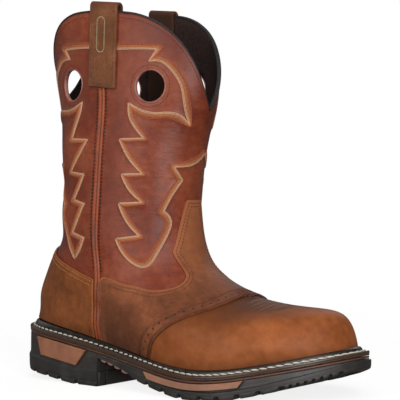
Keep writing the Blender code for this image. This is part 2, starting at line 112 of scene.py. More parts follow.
def spline(table, at):
    """A smooth curve through a table's rows, from its first column to the rest."""
    rows = np.array(table, float)
    return weights(rows[:, 0], np.atleast_1d(at)) @ rows[:, 1:]


def unit(ways):
    """Directions of length 1."""
    return ways / np.linalg.norm(ways, axis=1)[:, None]


def left_of(ways):
    """Directions in a plane, turned to their left."""
    return np.column_stack([-ways[:, 1], ways[:, 0]])


def round_weights(u):
    return weights(EDGE_KNOTS, np.atleast_1d(u) % 1, closed=True)


def edge(u, inset):
    """Points of the welt's edge moved inward: u runs once round, from the heel's back by the outer side."""
    u = np.atleast_1d(u)
    rows = np.vstack([EDGE_ROWS, EDGE_ROWS[:1]])[:, :2]
    along = unit(round_weights(u + ROUND_STEP) @ rows - round_weights(u - ROUND_STEP) @ rows)
    return round_weights(u) @ rows + np.reshape(inset, (-1, 1)) * left_of(along)


def welt_top(x):
    return spline(WELT_TOP, x)[:, 0]


def edge_halves(inset):
    """Outer and inner half of the moved edge, each from heel to toe."""
    at = edge(np.arange(EDGE_COUNT) / EDGE_COUNT, inset)
    heel, toe = at[:, 0].argmin(), at[:, 0].argmax()
    at = np.roll(at, -heel, axis=0)
    toe = (toe - heel) % EDGE_COUNT
    return at[:toe + 1], np.vstack([at[toe:], at[:1]])[::-1]


def across_sole(x, share, halves):
    """y at a share of the way from the outer to the inner half of an edge."""
    outer, inner = halves
    return np.interp(x, *outer.T) * (1 - share) + np.interp(x, *inner.T) * share


def corners(shape):
    """Places of a mesh's corners."""
    return np.array([vert.co for vert in shape.verts])


def move_to(shape, points):
    """Moves a mesh's corners to points of the drawing."""
    for vert, at in zip(shape.verts, (points - MIDDLE) * MM):
        vert.co = at


def sheet(grid, form, tint=None):
    """A grid laid on a form given over the unit square, its meeting edges joined. tint marks worn and trimmed
    spots, and places of painted shade and painted light.
    """
    shape = bmesh.new()
    bmesh.ops.create_grid(shape, x_segments=grid[0], y_segments=grid[1], size=0.5)
    s, t = (corners(shape)[:, :2] + 0.5).T
    rub = shape.verts.layers.float.new("rub")
    marks = tint(s, t) if tint else np.zeros(len(s))
    for vert, mark in zip(shape.verts, marks):
        vert[rub] = mark
    move_to(shape, form(s, t))
    bmesh.ops.remove_doubles(shape, verts=shape.verts, dist=MERGE)
    return shape


def plate(grid, inset, height):
    """A sheet that fills the moved edge, at a height given along the foot."""
    halves = edge_halves(inset)
    heel, toe = halves[0][0, 0], halves[0][-1, 0]

    def form(s, t):
        x = heel + (toe - heel) * (1 - np.cos(math.pi * s)) / 2
        return np.column_stack([x, across_sole(x, t, halves), height(x)])

    return sheet(grid, form)


def piece(name, shape, look, slot, *nodes):
    """Makes a mesh a piece of the boot that stands for CAD nodes."""
    mesh = bpy.data.meshes.new(name)
    shape.to_mesh(mesh)
    shape.free()
    mesh.materials.append(look)
    mesh.shade_smooth()
    made = bpy.data.objects.new(name, mesh)
    bpy.context.scene.collection.objects.link(made)
    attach(made, "root")
    if nodes:
        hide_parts(*nodes)
    return made


def thicken(made, thick, side, round_off=0.0):
    """Gives a sheet its thickness, inward, outward or both ways, and rounds its cut edges."""
    wall = made.modifiers.new("thickness", "SOLIDIFY")
    wall.thickness = thick * MM
    wall.offset = side
    wall.use_even_offset = True
    if round_off:
        rim = made.modifiers.new("rounded_edges", "BEVEL")
        rim.width = round_off * MM
        rim.segments = 2
        rim.limit_method = "ANGLE"
        rim.angle_limit = math.radians(50)
        rim.harden_normals = False


class Wire:
    """A shader socket. Python's operators on it add Math nodes, and node() adds any other kind."""

    def __init__(self, tree, socket):
        self.tree = tree
        self.socket = socket

    def node(self, kind, settings, inputs, output=0):
        made = self.tree.nodes.new("ShaderNode" + kind)
        for key, value in settings.items():
            if key == "stops":
                ramp = made.color_ramp.elements
                ramp[0].position, ramp[0].color = value[0][0], (*value[0][1], 1)
                ramp[-1].position, ramp[-1].color = value[-1][0], (*value[-1][1], 1)
                for place, colour in value[1:-1]:
                    ramp.new(place).color = (*colour, 1)
            else:
                setattr(made, key, value)
        for key, value in inputs.items():
            if isinstance(value, Wire):
                self.tree.links.new(value.socket, made.inputs[key])
            else:
                made.inputs[key].default_value = value
        return Wire(self.tree, made.outputs[output])

    def into(self, shader, name):
        self.tree.links.new(self.socket, shader.inputs[name])

    def worked(self, operation, first, second):
        return self.node("Math", {"operation": operation}, {0: first, 1: second})

    def __add__(self, other):
        return self.worked("ADD", self, other)

    __radd__ = __add__

    def __sub__(self, other):
        return self.worked("SUBTRACT", self, other)

    def __rsub__(self, other):
        return self.worked("SUBTRACT", other, self)

    def __mul__(self, other):
        return self.worked("MULTIPLY", self, other)

    __rmul__ = __mul__

    def between(self, low, high):
        """Rises from 0 to 1 between two values."""
        span = {"Value": self, "From Min": low, "From Max": high}
        return self.node("MapRange", {"interpolation_type": "SMOOTHSTEP"}, span)

    def noise(self, scale, detail=3.0, rough=0.55, stretch=None):
        at = self.node("Mapping", {}, {"Vector": self, "Scale": stretch}) if stretch else self
        return self.node("TexNoise", {}, {"Vector": at, "Scale": scale, "Detail": detail, "Roughness": rough})

    def cells(self, scale):
        return self.node("TexVoronoi", {"feature": "F1"}, {"Vector": self, "Scale": scale})

    def wear_and_shading_marks(self):
        """The marks that a sheet's tint left on it: wear, and painted shade and light."""
        return self.node("Attribute", {"attribute_name": "rub"}, {}, "Fac")

    def mixed(self, low, high):
        """A colour between two, by this value."""
        low, high = [c if isinstance(c, Wire) else (*c, 1) for c in (low, high)]
        return self.node("Mix", {"data_type": "RGBA"}, {0: self, 6: low, 7: high}, 2)

    def bump(self, strength, depth_mm):
        depth = {"Height": self, "Strength": strength, "Distance": depth_mm * MM}
        return self.node("Bump", {}, depth, "Normal")


def finish(name, rough, **fixed):
    """A new material with fixed values on its shader, and its Object coordinates."""
    made = bpy.data.materials.new(name)
    made.use_nodes = True
    shader = made.node_tree.nodes["Principled BSDF"]
    shader.inputs["Roughness"].default_value = rough
    for key, value in fixed.items():
        shader.inputs[key.replace("_", " ")].default_value = value
    return made, shader, Wire(made.node_tree, None).node("TexCoord", {}, {}, "Object")


def flecked(name, colours, noise, span, rough, relief=None, **fixed):
    """A finish flecked in two colours by a noise, which also gives its relief: strength, depth in mm."""
    made, shader, at = finish(name, rough, **fixed)
    fleck = at.noise(*noise)
    fleck.between(*span).mixed(*colours).into(shader, "Base Color")
    if relief:
        fleck.bump(*relief).into(shader, "Normal")
    return made


felt = flecked("felt_board", FELT_BROWNS, (900, 3), (0.35, 0.75), 0.95, (0.6, 0.3), Sheen_Weight=0.3)
footbed_shape = plate(FOOTBED_GRID, FOOTBED_INSET, lambda x: welt_top(x) - HAIR)
thicken(piece("footbed", footbed_shape, felt, "felt", "insole"), FOOTBED_THICK, INWARD)

# Vamp. Smooth oiled tan leather pulled over the toe of the last and tucked under the saddle. It is glossy
# along the top of the toe, and fine creases cross it where the foot bends.
VAMP_GRID = (260, 150)
VAMP_FROM = 0.245
VAMP_UNDER_SADDLE = 0.75
LEATHER_THICK = 1.4
UPPER_FOOT_ROW = 0.04

# Colours of a leather: dark, plain, pale. Its painted shade has a colour of its own
VAMP_TANS = ((0.145, 0.037, 0.009), (0.258, 0.073, 0.020), (0.380, 0.122, 0.040))
VAMP_SHADE_BROWN = (0.078, 0.025, 0.009)

# Loops of the upper from the welt to the collar. Each runs from its back point to its front point, sinks by
# dip between them and has half-breadths at the heel, waist, ball and toe. skew: share of the sole's curve.
LOOPS = {
    # name      back_x  back_z  front_x front_z dip  skew  heel  waist ball  toe
    "wall":    (12.4,   54.0,   296.0,  45.2,   9.0, 1.00, 27.5, 36.0, 51.5, 41.0),
    "roof":    (14.0,   67.0,   287.2,  58.8,  11.0, 0.95, 28.0, 36.0, 50.0, 36.5),
    "toe_top": (20.8,   81.5,   260.0,  62.6,  13.0, 0.85, 28.5, 36.5, 47.0, 40.0),
    "ball":    (30.4,   97.0,   222.6,  66.9,  13.0, 0.65, 29.0, 37.0, 43.0, 37.0),
    "instep":  (40.8,  112.0,   188.4,  79.2,   9.0, 0.40, 29.5, 38.0, 40.5, 31.0),
    "ankle":   (44.8,  127.0,   166.8, 102.6,   3.0, 0.15, 29.0, 39.0, 39.5, 27.5),
    "throat":  (44.6,  146.0,   165.4, 146.0,   0.0, 0.00, 27.5, 39.5, 39.0, 27.0),
    "shaft":   (42.5,  187.0,   173.9, 187.0,   0.0, 0.00, 26.0, 38.0, 37.5, 26.0),
    "holes":   (35.9,  232.0,   186.9, 232.0,   0.0, 0.00, 24.0, 36.0, 35.0, 24.0),
    "top":     (20.4,  292.0,   186.0, 292.0,   0.0, 0.00, 23.0, 35.0, 34.0, 23.0),
}
TOP_ROW = 10.0
ROW_STEP = 1e-3
SIDE_ROUND = 0.25

# Where the ten points of a loop stand: share of its length, share of its dip, side
LOOP_ALONG = (0, 0.10, 0.34, 0.64, 0.88, 1, 0.88, 0.64, 0.34, 0.10)
LOOP_DIP = (0, 0.15, 0.55, 1.0, 0.72, 0, 0.72, 1.0, 0.55, 0.15)
LOOP_SIDE = (0, -1, -1, -1, -1, 0, 1, 1, 1, 1)

# First guess of the row at a height: height, row
ROW_GUESS = [(70, 4.6), (102, 5.8), (146, 7), (187, 8), (232, 9), (292, 10)]

# Collar: way round from heel (0) to front (0.5), height
COLLAR = [
    (0, 231), (0.06, 247), (0.13, 272.5), (0.20, 284.8), (0.25, 285.6), (0.30, 284.6), (0.36, 275.5),
    (0.43, 247.5), (0.475, 219), (0.5, 207),
]

# How much lower the collar hangs at the back and along the outer side: way round, drop
COLLAR_DROP = [
    (0, 6), (0.03, 4), (0.06, 1.5), (0.1, 0), (0.2, 0), (0.25, 1.0), (0.30, 3.2), (0.36, 3.1), (0.43, 2.3),
    (0.475, 1.0), (0.5, 0), (0.525, 1.5), (0.57, 2.5), (0.64, 1.5), (0.7, 0), (0.87, 0), (0.94, 4), (0.97, 6),
    (1, 6),
]

# Pull holes: x, z, outer (-1) or inner (1) side
PULL_HOLES = [(73.5, 230.0, -1), (73.5, 230.0, 1), (149.5, 225.0, -1), (145.5, 225.0, 1)]
HOLE_RADIUS = 12.0
HOLE_DEEP = 9.0
HOLE_RAGGED = 2.5

# Edges of the saddle, from the welt to the front's middle: round and row of its lower edge, then of its upper
# edge, where None stands beside the side seam
SADDLE = [
    (0.2580, 0.21, None, 0.30), (0.2627, 0.60, None, 1.60), (0.2690, 0.96, None, 3.00),
    (0.2780, 1.36, None, 4.45), (0.2900, 1.86, 0.2720, 4.69), (0.3060, 2.45, 0.3060, 4.78),
    (0.3270, 3.02, 0.3370, 4.77), (0.3510, 3.46, 0.3670, 4.84), (0.3780, 3.75, 0.3970, 4.95),
    (0.4040, 3.92, 0.4200, 5.12), (0.4320, 4.06, 0.4335, 5.31), (0.4620, 4.19, 0.4370, 5.50),
    (0.4800, 4.25, 0.4342, 5.72), (0.4862, 4.26, 0.4298, 5.92), (0.4890, 4.27, 0.4360, 6.07),
    (0.4917, 4.27, 0.4485, 6.31), (0.4945, 4.27, 0.4618, 6.62), (0.4972, 4.28, 0.4735, 6.87),
    (0.5000, 4.28, 0.5000, 6.87),
]

# Creases over the bend of the foot: x and y at the inner end, x and y at the outer end, depth
CREASES = [
    (219, 10, 218.5, -10, 0.25), (224.5, 15, 224, -14, 0.5), (230, 17, 229.5, -18, 0.65),
    (235.7, 17, 234.2, -19, 0.7), (241.3, 15, 239.5, -19.5, 0.65), (246.5, 11, 244, -18, 0.55),
    (250.5, 4, 248, -16, 0.35),
]
CREASE_HALF = 1.25
CREASE_LOWEST = 52
CREASE_ROW = 2.0
RIDGE_BEHIND = 3
RIDGE_HALF = 1.8
RIDGE_SHARE = 0.45


def from_back(u):
    """Way round from the heel's back by the nearer side."""
    return np.minimum(u, 1 - u)


def on_side(u, side):
    """A way round given for the outer side, on the outer (-1) or inner (1) side."""
    return u if side < 0 else 1 - u


def loop_points():
    """Control points of the upper's loops: row, way round, xyz. The first row lies on the welt."""
    along, dip_share, side = np.array(LOOP_ALONG), np.array(LOOP_DIP), np.array(LOOP_SIDE)
    foot = edge(np.arange(10) / 10, EDGE_ROWS[:, 2])
    curve = (foot[:, 1] + foot[-np.arange(10), 1]) / 2
    rows = [np.column_stack([foot, welt_top(foot[:, 0])])]
    for back_x, back_z, front_x, front_z, dip, skew, heel, waist, ball, toe in LOOPS.values():
        half = np.array([0, heel, waist, ball, toe, 0, toe, ball, waist, heel])
        x = back_x + (front_x - back_x) * along
        z = back_z + (front_z - back_z) * along - dip * dip_share
        rows.append(np.column_stack([x, side * half + skew * curve, z]))
    rows = np.array(rows)
    return np.concatenate([rows, rows[:, :1]], axis=1)


LOOP_POINTS = loop_points()
ROW_KNOTS = np.arange(len(LOOP_POINTS))


def face(u, row):
    """Points of the upper's outer face: way round, row of the loft."""
    u, row = np.broadcast_arrays(np.atleast_1d(np.asarray(u, float)), np.asarray(row, float))
    return np.einsum("nr,nu,ruk->nk", weights(ROW_KNOTS, row), round_weights(u), LOOP_POINTS, optimize=True)


def ways(u, row):
    """How the upper's face runs on at its points: for a step round and for a step up."""
    round_way = face(u + ROUND_STEP, row) - face(u - ROUND_STEP, row)
    up_way = face(u, row + ROW_STEP) - face(u, row - ROW_STEP)
    return round_way / (2 * ROUND_STEP), up_way / (2 * ROW_STEP)


def outward(u, row):
    return unit(np.cross(*ways(u, row)))


def skin(u, row, off):
    """Points at a distance off the upper's outer face: way round, row of the loft, distance."""
    return face(u, row) + np.reshape(off, (-1, 1)) * outward(u, row)


def slide(u, row, move):
    """The way round and row that a move along the upper's face leads to."""
    du, dr = ways(u, row)
    a, b, c = (du * du).sum(1), (du * dr).sum(1), (dr * dr).sum(1)
    p, q = (du * move).sum(1), (dr * move).sum(1)
    return u + (c * p - b * q) / (a * c - b * b), row + (a * q - b * p) / (a * c - b * b)


def row_at_height(u, z):
    """The row at which the shaft's wall reaches a height."""
    u, z = np.broadcast_arrays(np.atleast_1d(np.asarray(u, float)), np.asarray(z, float))
    row = np.interp(z, *np.array(ROW_GUESS).T)
    for _ in range(8):
        row = np.clip(row + (z - face(u, row)[:, 2]) / ways(u, row)[1][:, 2], 3, TOP_ROW)
    return row


def round_at_x(x, row, side):
    """The way round at which a loop reaches x on the outer (-1) or inner (1) side."""
    u = on_side(np.linspace(0.02, 0.48, 400), side)
    return np.interp(x, face(u, np.full(400, row))[:, 0], u)


COLLAR_ROUND = np.linspace(0, 1, 721)
COLLAR_HEIGHT = spline(COLLAR, from_back(COLLAR_ROUND))[:, 0]
COLLAR_HEIGHT -= np.interp(COLLAR_ROUND, *np.array(COLLAR_DROP).T)
COLLAR_ROW = row_at_height(COLLAR_ROUND, COLLAR_HEIGHT)


def collar_row(u):
    return np.interp(u % 1, COLLAR_ROUND, COLLAR_ROW)


def hole_axes():
    """Middle and outward level axis of each pull hole."""
    found = []
    for x, z, side in PULL_HOLES:
        row = row_at_height(SIDE_ROUND, z)
        u = np.array([round_at_x(x, row[0], side)])
        out = outward(u, row)[0] * (1, 1, 0)
        found.append((face(u, row)[0], out / np.linalg.norm(out)))
    return found


def open_holes(shape, radius):
    """Takes the faces out of each pull hole and draws the edge that is left onto its circle."""
    for middle, axis in hole_axes():
        middle, axis = Vector((middle - MIDDLE) * MM), Vector(axis)

        def aside(point):
            gap = point - middle
            return gap - gap.dot(axis) * axis

        def near(point, far):
            return aside(point).length < far * MM and abs((point - middle).dot(axis)) < HOLE_DEEP * MM

        gone = [f for f in shape.faces if near(f.calc_center_median(), radius)]
        bmesh.ops.delete(shape, geom=gone, context="FACES")
        for vert in shape.verts:
            if vert.is_boundary and near(vert.co, radius + HOLE_RAGGED):
                gap = aside(vert.co)
                vert.co += gap * (radius * MM / gap.length - 1)


def leather(
    name, colours, cloud, rough, coat, grain, nap=0.0, gloss=0.2, worn=None, deep=None, drawn_in=0.0
):
    """Oiled leather: cloudy colour from the oils, pores and fine wrinkles, paler where it is rubbed and where
    painted light is marked.
    worn colours its scuffs and deep its painted shade, and drawn_in deepens its level wrinkles."""
    dark, plain, pale = colours
    made, shader, at = finish(name, rough, Specular_IOR_Level=gloss, Coat_Roughness=0.3, Sheen_Weight=nap)
    clouds = at.noise(cloud, 4, 0.6)
    mottle = at.noise(cloud * 9, 3, 0.6)
    tone = clouds * 0.7 + mottle * 0.3
    if drawn_in:
        streaks = at.noise(70, 3, 0.6, (1, 1, 5))
        tone = (tone * 0.9 + streaks * 0.1 - 0.5) * 1.3 + 0.5
    colour = tone.node("ValToRGB", {"stops": [(0.34, dark), (0.52, plain), (0.72, pale)]}, {"Fac": tone})
    if worn:
        colour = (at.noise(cloud * 0.6, 5, 0.65).between(0.5, 0.72) * 0.5).mixed(colour, worn)
    rub = at.wear_and_shading_marks()
    # Marks above 0 pale it (worn edges and painted light), marks below 0 darken it toward deep (painted
    # shade)
    colour = (rub * (0.55 + mottle * 0.5)).between(0.0, 1.0).mixed(colour, pale)
    colour = (rub * -1.0).between(0.0, 1.0).mixed(colour, deep or tuple(0.45 * c for c in dark))
    colour.into(shader, "Base Color")
    (rough + (mottle - 0.5) * 0.2).into(shader, "Roughness")
    if coat:
        (coat * (1.15 - mottle * 0.6)).into(shader, "Coat Weight")
    pores = at.cells(1500)
    wrinkles = at.noise(420, 4, 0.65)
    if drawn_in:
        wrinkles = wrinkles + streaks * drawn_in
    (pores * 0.5 + wrinkles).bump(grain, 0.35).into(shader, "Normal")
    return made


def hill(x, half):
    """A soft hill: 1 at 0, and low past its half-width."""
    return np.exp(-((x / half) ** 2))


def rising(x, start, end):
    """0 before a start, 1 past an end, and even between."""
    return np.clip((x - start) / (end - start), 0, 1)


def near_line(points, ends):
    """Distances from points to a line between two ends, in a plane, and the shares along it."""
    start, end = np.array(ends[:2], float), np.array(ends[2:4], float)
    along = end - start
    share = np.clip(((points - start) @ along) / (along @ along), 0, 1)
    return np.linalg.norm(points - start - share[:, None] * along, axis=1), share


def vamp_relief(u, row):
    """Height of the creases: a soft trough each, with a low ridge behind it."""
    at = face(u, row)
    rise = np.zeros(len(at))
    for x0, y0, x1, y1, depth in CREASES:
        away, share = near_line(at[:, :2], (x0, y0, x1, y1))
        fade = depth * np.sin(math.pi * np.clip(share, 0.02, 0.98)) ** 0.7
        rise -= fade * hill(away, CREASE_HALF)
        away, _ = near_line(at[:, :2], (x0 - RIDGE_BEHIND, y0, x1 - RIDGE_BEHIND, y1))
        rise += RIDGE_SHARE * fade * hill(away, RIDGE_HALF)
    return np.where((at[:, 2] > CREASE_LOWEST) & (row > CREASE_ROW), rise, 0)


def vamp_place(s, t):
    u = VAMP_FROM + (1 - 2 * VAMP_FROM) * s
    low = np.array([line[:2] for line in SADDLE])
    top = np.interp(from_back(u), low[:, 0], low[:, 1]) + VAMP_UNDER_SADDLE
    return u, UPPER_FOOT_ROW + (top - UPPER_FOOT_ROW) * t


def vamp_form(s, t):
    u, row = vamp_place(s, t)
    return skin(u, row, vamp_relief(u, row))


def vamp_tint(s, t):
    """Pale ridges and painted shade in the creases; darker over the bend and at the back; painted shade at
    the welt and low on the toe.
    """
    u, row = vamp_place(s, t)
    x, y, _ = face(u, row).T
    bend = 0.6 * hill(x - 226, 26) * hill(y - 2, 26)
    # Painted shade along the welt
    welt = 0.4 * rising(row, 0.5, 0)
    back = 0.5 * rising(x, 262, 222) * (0.55 + 0.45 * rising(row, 0.8, 2.2))
    # Painted shade low on the toe
    toe = 0.45 * rising(row, 1.5, 0) * rising(x, 215, 255)
    return np.clip(2.2 * vamp_relief(u, row), -0.7, 0.9) - bend - welt - back - toe


vamp_leather = leather(
    "vamp_leather", VAMP_TANS, cloud=18, rough=0.5, coat=0.03, grain=0.14, gloss=0.12, deep=VAMP_SHADE_BROWN
)
vamp = piece("vamp", sheet(VAMP_GRID, vamp_form, vamp_tint), vamp_leather, "tan_leather", "upper")
thicken(vamp, LEATHER_THICK, INWARD)

# Shaft. Two panels of thin red-brown leather sewn up the sides. It stands up by itself in soft waves above
# the ankle, swells over the cords sewn under its flame stitching, and is punched for the pull holes.
SHAFT_REDS = ((0.105, 0.016, 0.007), (0.185, 0.035, 0.013), (0.265, 0.070, 0.031))
SHAFT_WORN = (0.180, 0.052, 0.030)
# Colour of its painted shade and of its darker places
SHAFT_SHADE_RED = (0.112, 0.022, 0.012)
SHAFT_GRID = (264, 150)
SHAFT_GIRTH = 340
SHAFT_ROW = 8.0

# Foot of the shaft under the counter and saddle: way round, row
SHAFT_FOOT = [(0, 3.9), (0.2, 3.7), (0.3, 4.2), (0.4, 4.4), (0.44, 4.9), (0.5, 5.2)]

# Waves in the standing leather: way round, height, half-length round in mm, half-height in mm, rise in mm
WAVES = [
    (0.07, 156, 26, 9, -1.5), (0.07, 133, 26, 10, 0.8), (0.10, 112, 22, 9, -1.0), (0.13, 182, 30, 14, 0.7),
    (0.17, 150, 24, 12, -0.6), (0.36, 172, 24, 18, 0.7), (0.33, 128, 20, 12, -0.6), (0.42, 186, 18, 16, -0.6),
    (0.47, 150, 22, 12, 0.5), (0.90, 150, 26, 10, -1.2), (0.86, 118, 24, 12, -0.8), (0.68, 165, 26, 16, 0.7),
    (0.62, 130, 24, 12, -0.7),
]
WAVES_END = 1 / 12

# Darker (or, below 0, paler) places in the leather, partly its own tone and partly painted shade and light:
# way round, height, half-spread round and up, depth
SHAFT_SHADES = [
    (0.10, 255, 0.08, 26, 0.6), (0.48, 172, 0.035, 38, -0.35), (0.06, 150, 0.06, 70, 0.7),
    (0.36, 175, 0.05, 26, 0.1), (0.33, 96, 0.09, 14, -0.3), (0.28, 180, 0.03, 70, 0.55),
    (0.41, 130, 0.05, 30, 0.3), (0.38, 260, 0.07, 24, 0.5), (0.20, 185, 0.03, 75, 0.4),
    (0.25, 281, 0.1, 9, -0.45), (0.44, 232, 0.05, 25, 0.3), (0.17, 100, 0.06, 32, 0.4),
]

# Flame stitching, laid flat: mm round from the back seam, height
FRONT_FLAME = [
    (84, 254), (97, 253.7), (110, 253), (124, 251.7), (118, 243), (125, 243), (131, 239), (136, 233),
    (140.5, 226), (145, 214), (149, 204), (155, 195), (147, 202), (138, 205), (127, 205), (115, 208),
    (104.5, 213.5), (106, 205), (110, 198), (122, 186.5), (101.5, 186.5), (112, 172), (125, 160.2),
    (107, 160.2), (114, 149), (126, 139), (105.5, 138.5), (112, 126), (123.5, 114), (102, 112), (106, 102),
    (112, 94.5), (119, 90.7), (126, 91.5), (134, 98), (142, 108), (148, 118), (149.5, 123.5),
    (147.8, 128.5), (144, 132), (150, 144), (157, 155), (149.3, 164.8), (163.3, 166), (177, 174.5),
]
BACK_FLAME = [
    (84, 257), (73, 257), (62, 257.5), (50, 257.5), (53, 250), (44, 249), (36, 244), (28, 238), (21.5, 230),
    (16.5, 218), (12.5, 203), (21, 209), (31, 211.5), (41, 211), (52, 212), (63, 216.5), (61, 208), (58, 201),
    (52.5, 188.5), (71, 187.2), (61, 174), (51, 163), (68.5, 161), (62, 150), (56, 141.8), (69.5, 138.5),
    (62, 127), (53.5, 116.4), (67.5, 112.5), (60, 103), (52.5, 96), (47, 104), (41.5, 116), (35, 129),
    (39, 138), (31, 147), (24, 156), (31.5, 167), (14, 168), (0, 178),
]
FLAME_MIDDLE = 2.1
FLAME_HALF = 3.0
FLAME_SWELL = 0.45
FLAME_CORNER = 0.68
FLAME_STEP = 1.0

# How far the front flame's foot is turned to the inner side, as the boot was sewn, and between which mm round
# and which heights the turn grows
FLAME_TURN = 15.6
FLAME_TURN_ROUND = (122, 144)
FLAME_TURN_HEIGHT = (188, 176)


def lengths(points):
    """Distance along a line of points, at each of them."""
    return np.concatenate([[0], np.cumsum(np.linalg.norm(np.diff(points, axis=0), axis=1))])


ROUND_WAY = np.linspace(0, 1, 1001)
ROUND_MM = lengths(face(ROUND_WAY, SHAFT_ROW))


def flames():
    """The flames laid flat, mm round by the outer side and height, and which way is inside."""
    found = []
    for flame, inside in ((FRONT_FLAME, 1), (BACK_FLAME, -1)):
        path = np.array(flame, float)
        found.append((path, inside))
        turn = rising(path[:, 0], *FLAME_TURN_ROUND) * rising(path[:, 1], *FLAME_TURN_HEIGHT)
        turned = ROUND_MM[-1] - path[:, 0] + FLAME_TURN * turn
        found.append((np.column_stack([turned, path[:, 1]]), -inside))
    return found


def waves(u, row):
    """Height of the soft waves in the standing leather, none at the collar."""
    height = face(u, row)[:, 2]
    rise = np.zeros(len(height))
    for way, middle, long, high, lift in WAVES:
        apart = (u - way + 0.5) % 1 - 0.5
        rise += lift * hill(apart * SHAFT_GIRTH, long) * hill(height - middle, high)
    return rise * rising(collar_row(u) - row, 0, WAVES_END)


def shifted(path, by):
    """A drawn line moved to its left by a distance, its corners kept sharp but not far out."""
    path = np.array(path, float)
    left = left_of(unit(np.diff(path, axis=0)))
    before, after = np.vstack([left[:1], left]), np.vstack([left, left[-1:]])
    both = before + after
    reach = np.minimum(1 / np.maximum((before * both).sum(1), 1e-6), 1.35)
    return path + by * both * reach[:, None]


def drawn(path):
    """Points close together along a line: curved, with its sharp corners kept."""
    way = unit(np.diff(path, axis=0))
    sharp = np.flatnonzero((way[1:] * way[:-1]).sum(1) < FLAME_CORNER) + 1
    ends = [0, *sharp, len(path) - 1]
    made = []
    for start, end in zip(ends[:-1], ends[1:]):
        part = path[start:end + 1]
        length = lengths(part)
        at = np.linspace(0, length[-1], max(2, int(length[-1] / FLAME_STEP)), endpoint=False)
        made.append(weights(length, at) @ part)
    return np.vstack(made + [path[-1:]])


FLAME_LINES = np.vstack([drawn(shifted(flame, FLAME_MIDDLE * inside)) for flame, inside in flames()])
FLAME_TREE = KDTree(len(FLAME_LINES))
for number, spot in enumerate(FLAME_LINES):
    FLAME_TREE.insert((*spot, 0), number)
FLAME_TREE.balance()


def shaft_relief(u, row):
    """Height of the leather over its smooth form: the waves, and the swelling over the flames' cords."""
    height = face(u, row)[:, 2]
    laid = zip(np.interp(u % 1, ROUND_WAY, ROUND_MM), height)
    away = np.array([FLAME_TREE.find((x, z, 0))[2] for x, z in laid])
    return waves(u, row) + FLAME_SWELL * np.exp(-((away / FLAME_HALF) ** 4))


def shaft_place(s, t):
    foot = np.interp(from_back(s), *np.array(SHAFT_FOOT).T)
    return s, foot + (collar_row(s) - foot) * t


def shaft_form(s, t):
    u, row = shaft_place(s, t)
    return skin(u, row, shaft_relief(u, row))


def shaft_tint(s, t):
    """Pale where the leather stands proud, as pulled-up leather is, and painted shade in the troughs of its
    waves. Darker toward the collar, and darker or paler in the listed places: partly its own tone, partly
    painted shade and light.
    """
    u, row = shaft_place(s, t)
    height = face(u, row)[:, 2]
    shade = 0.3 * rising(collar_row(u) - row, 0.35, 0)
    for way, middle, wide, high, deep in SHAFT_SHADES:
        shade += deep * hill(from_back(u) - way, wide) * hill(height - middle, high)
    # Standing proud pales it; the waves' troughs get painted shade
    return np.clip(shaft_relief(u, row) * 0.5, -0.35, 0.45) - shade


shaft_leather = leather(
    "shaft_leather", SHAFT_REDS, cloud=22, rough=0.42, coat=0.06, grain=0.3, gloss=0.24,
    worn=SHAFT_WORN, deep=SHAFT_SHADE_RED, drawn_in=3.0,
)
shaft_shape = sheet(SHAFT_GRID, shaft_form, shaft_tint)
open_holes(shaft_shape, HOLE_RADIUS)
thicken(piece("shaft", shaft_shape, shaft_leather, "red_leather", "upper"), LEATHER_THICK, INWARD)

# Lining. A dark knitted cloth glued inside the leather from the welt to the collar, so it shows over the far
# wall of the shaft and through the pull holes.
# Its browns are as dark as the inside looks in shade: painted shade on top of the cloth's own dark brown
LINING_SHADED_BROWNS = ((0.012, 0.0065, 0.0058), (0.034, 0.018, 0.015))
LINING_GRID = (180, 100)
LINING_HOLE = HOLE_RADIUS + 0.2
WALL = 2.4


def lining_form(s, t):
    row = UPPER_FOOT_ROW + (collar_row(s) - UPPER_FOOT_ROW) * t
    return skin(s, row, waves(s, row) - LEATHER_THICK)


knit, knit_shader, knit_at = finish("lining_knit", 0.95, Specular_IOR_Level=0.2)
loops = knit_at.cells(700) + knit_at.noise(120, 2) * 0.5
loops.between(0.25, 0.95).mixed(*LINING_SHADED_BROWNS).into(knit_shader, "Base Color")
loops.bump(0.5, 0.35).into(knit_shader, "Normal")
lining_shape = sheet(LINING_GRID, lining_form)
open_holes(lining_shape, LINING_HOLE)
thicken(piece("lining", lining_shape, knit, "red_leather", "upper"), WALL - LEATHER_THICK, INWARD)

# Counter. A stiff tan leather cup sewn over the heel of the shaft, from one side seam round to the other. Two
# rows of thread hold its top edge, and two more run down beside each seam.
COUNTER_TANS = ((0.105, 0.031, 0.009), (0.205, 0.062, 0.019), (0.300, 0.100, 0.028))
COUNTER_GRID = (170, 60)
COUNTER_TALL = 62
COUNTER_LONG = 190
BEAD_ROW = 0.36
FOOT_ROW = 0.44
SEAM_FOOT_ROW = 0.3
SKIN_CLEAR = 0.3
OVERLAY_THICK = 1.4
OVERLAY_EDGE = 0.35
ON_OVERLAY = SKIN_CLEAR + OVERLAY_THICK + 0.05
SEAM_HALF = 3.2
SEAM_CLEAR = 0.7

# Top edge of the counter: way round, row
COUNTER_TOP = [(0, 4.6), (0.1, 4.36), (0.25, 4.2)]

# Side seam: row, way round
SEAM = [(0, 0.191), (0.9, 0.1925), (2.83, 0.2011), (4.3, 0.2195), (5.55, 0.2369), (6.86, 0.2486), (9, 0.243)]

# Height of the welt's bead along the foot, where the leather pieces end: x, height
BEAD_HIGH = [(0, 4.5), (60, 4.5), (110, 4.2), (200, 3.4), (260, 3.4), (312, 3.9)]

# Threads: plain and pale
RUST_THREAD = ((0.080, 0.021, 0.011), (0.125, 0.036, 0.018))
AMBER_THREAD = ((0.330, 0.105, 0.030), (0.44, 0.17, 0.058))

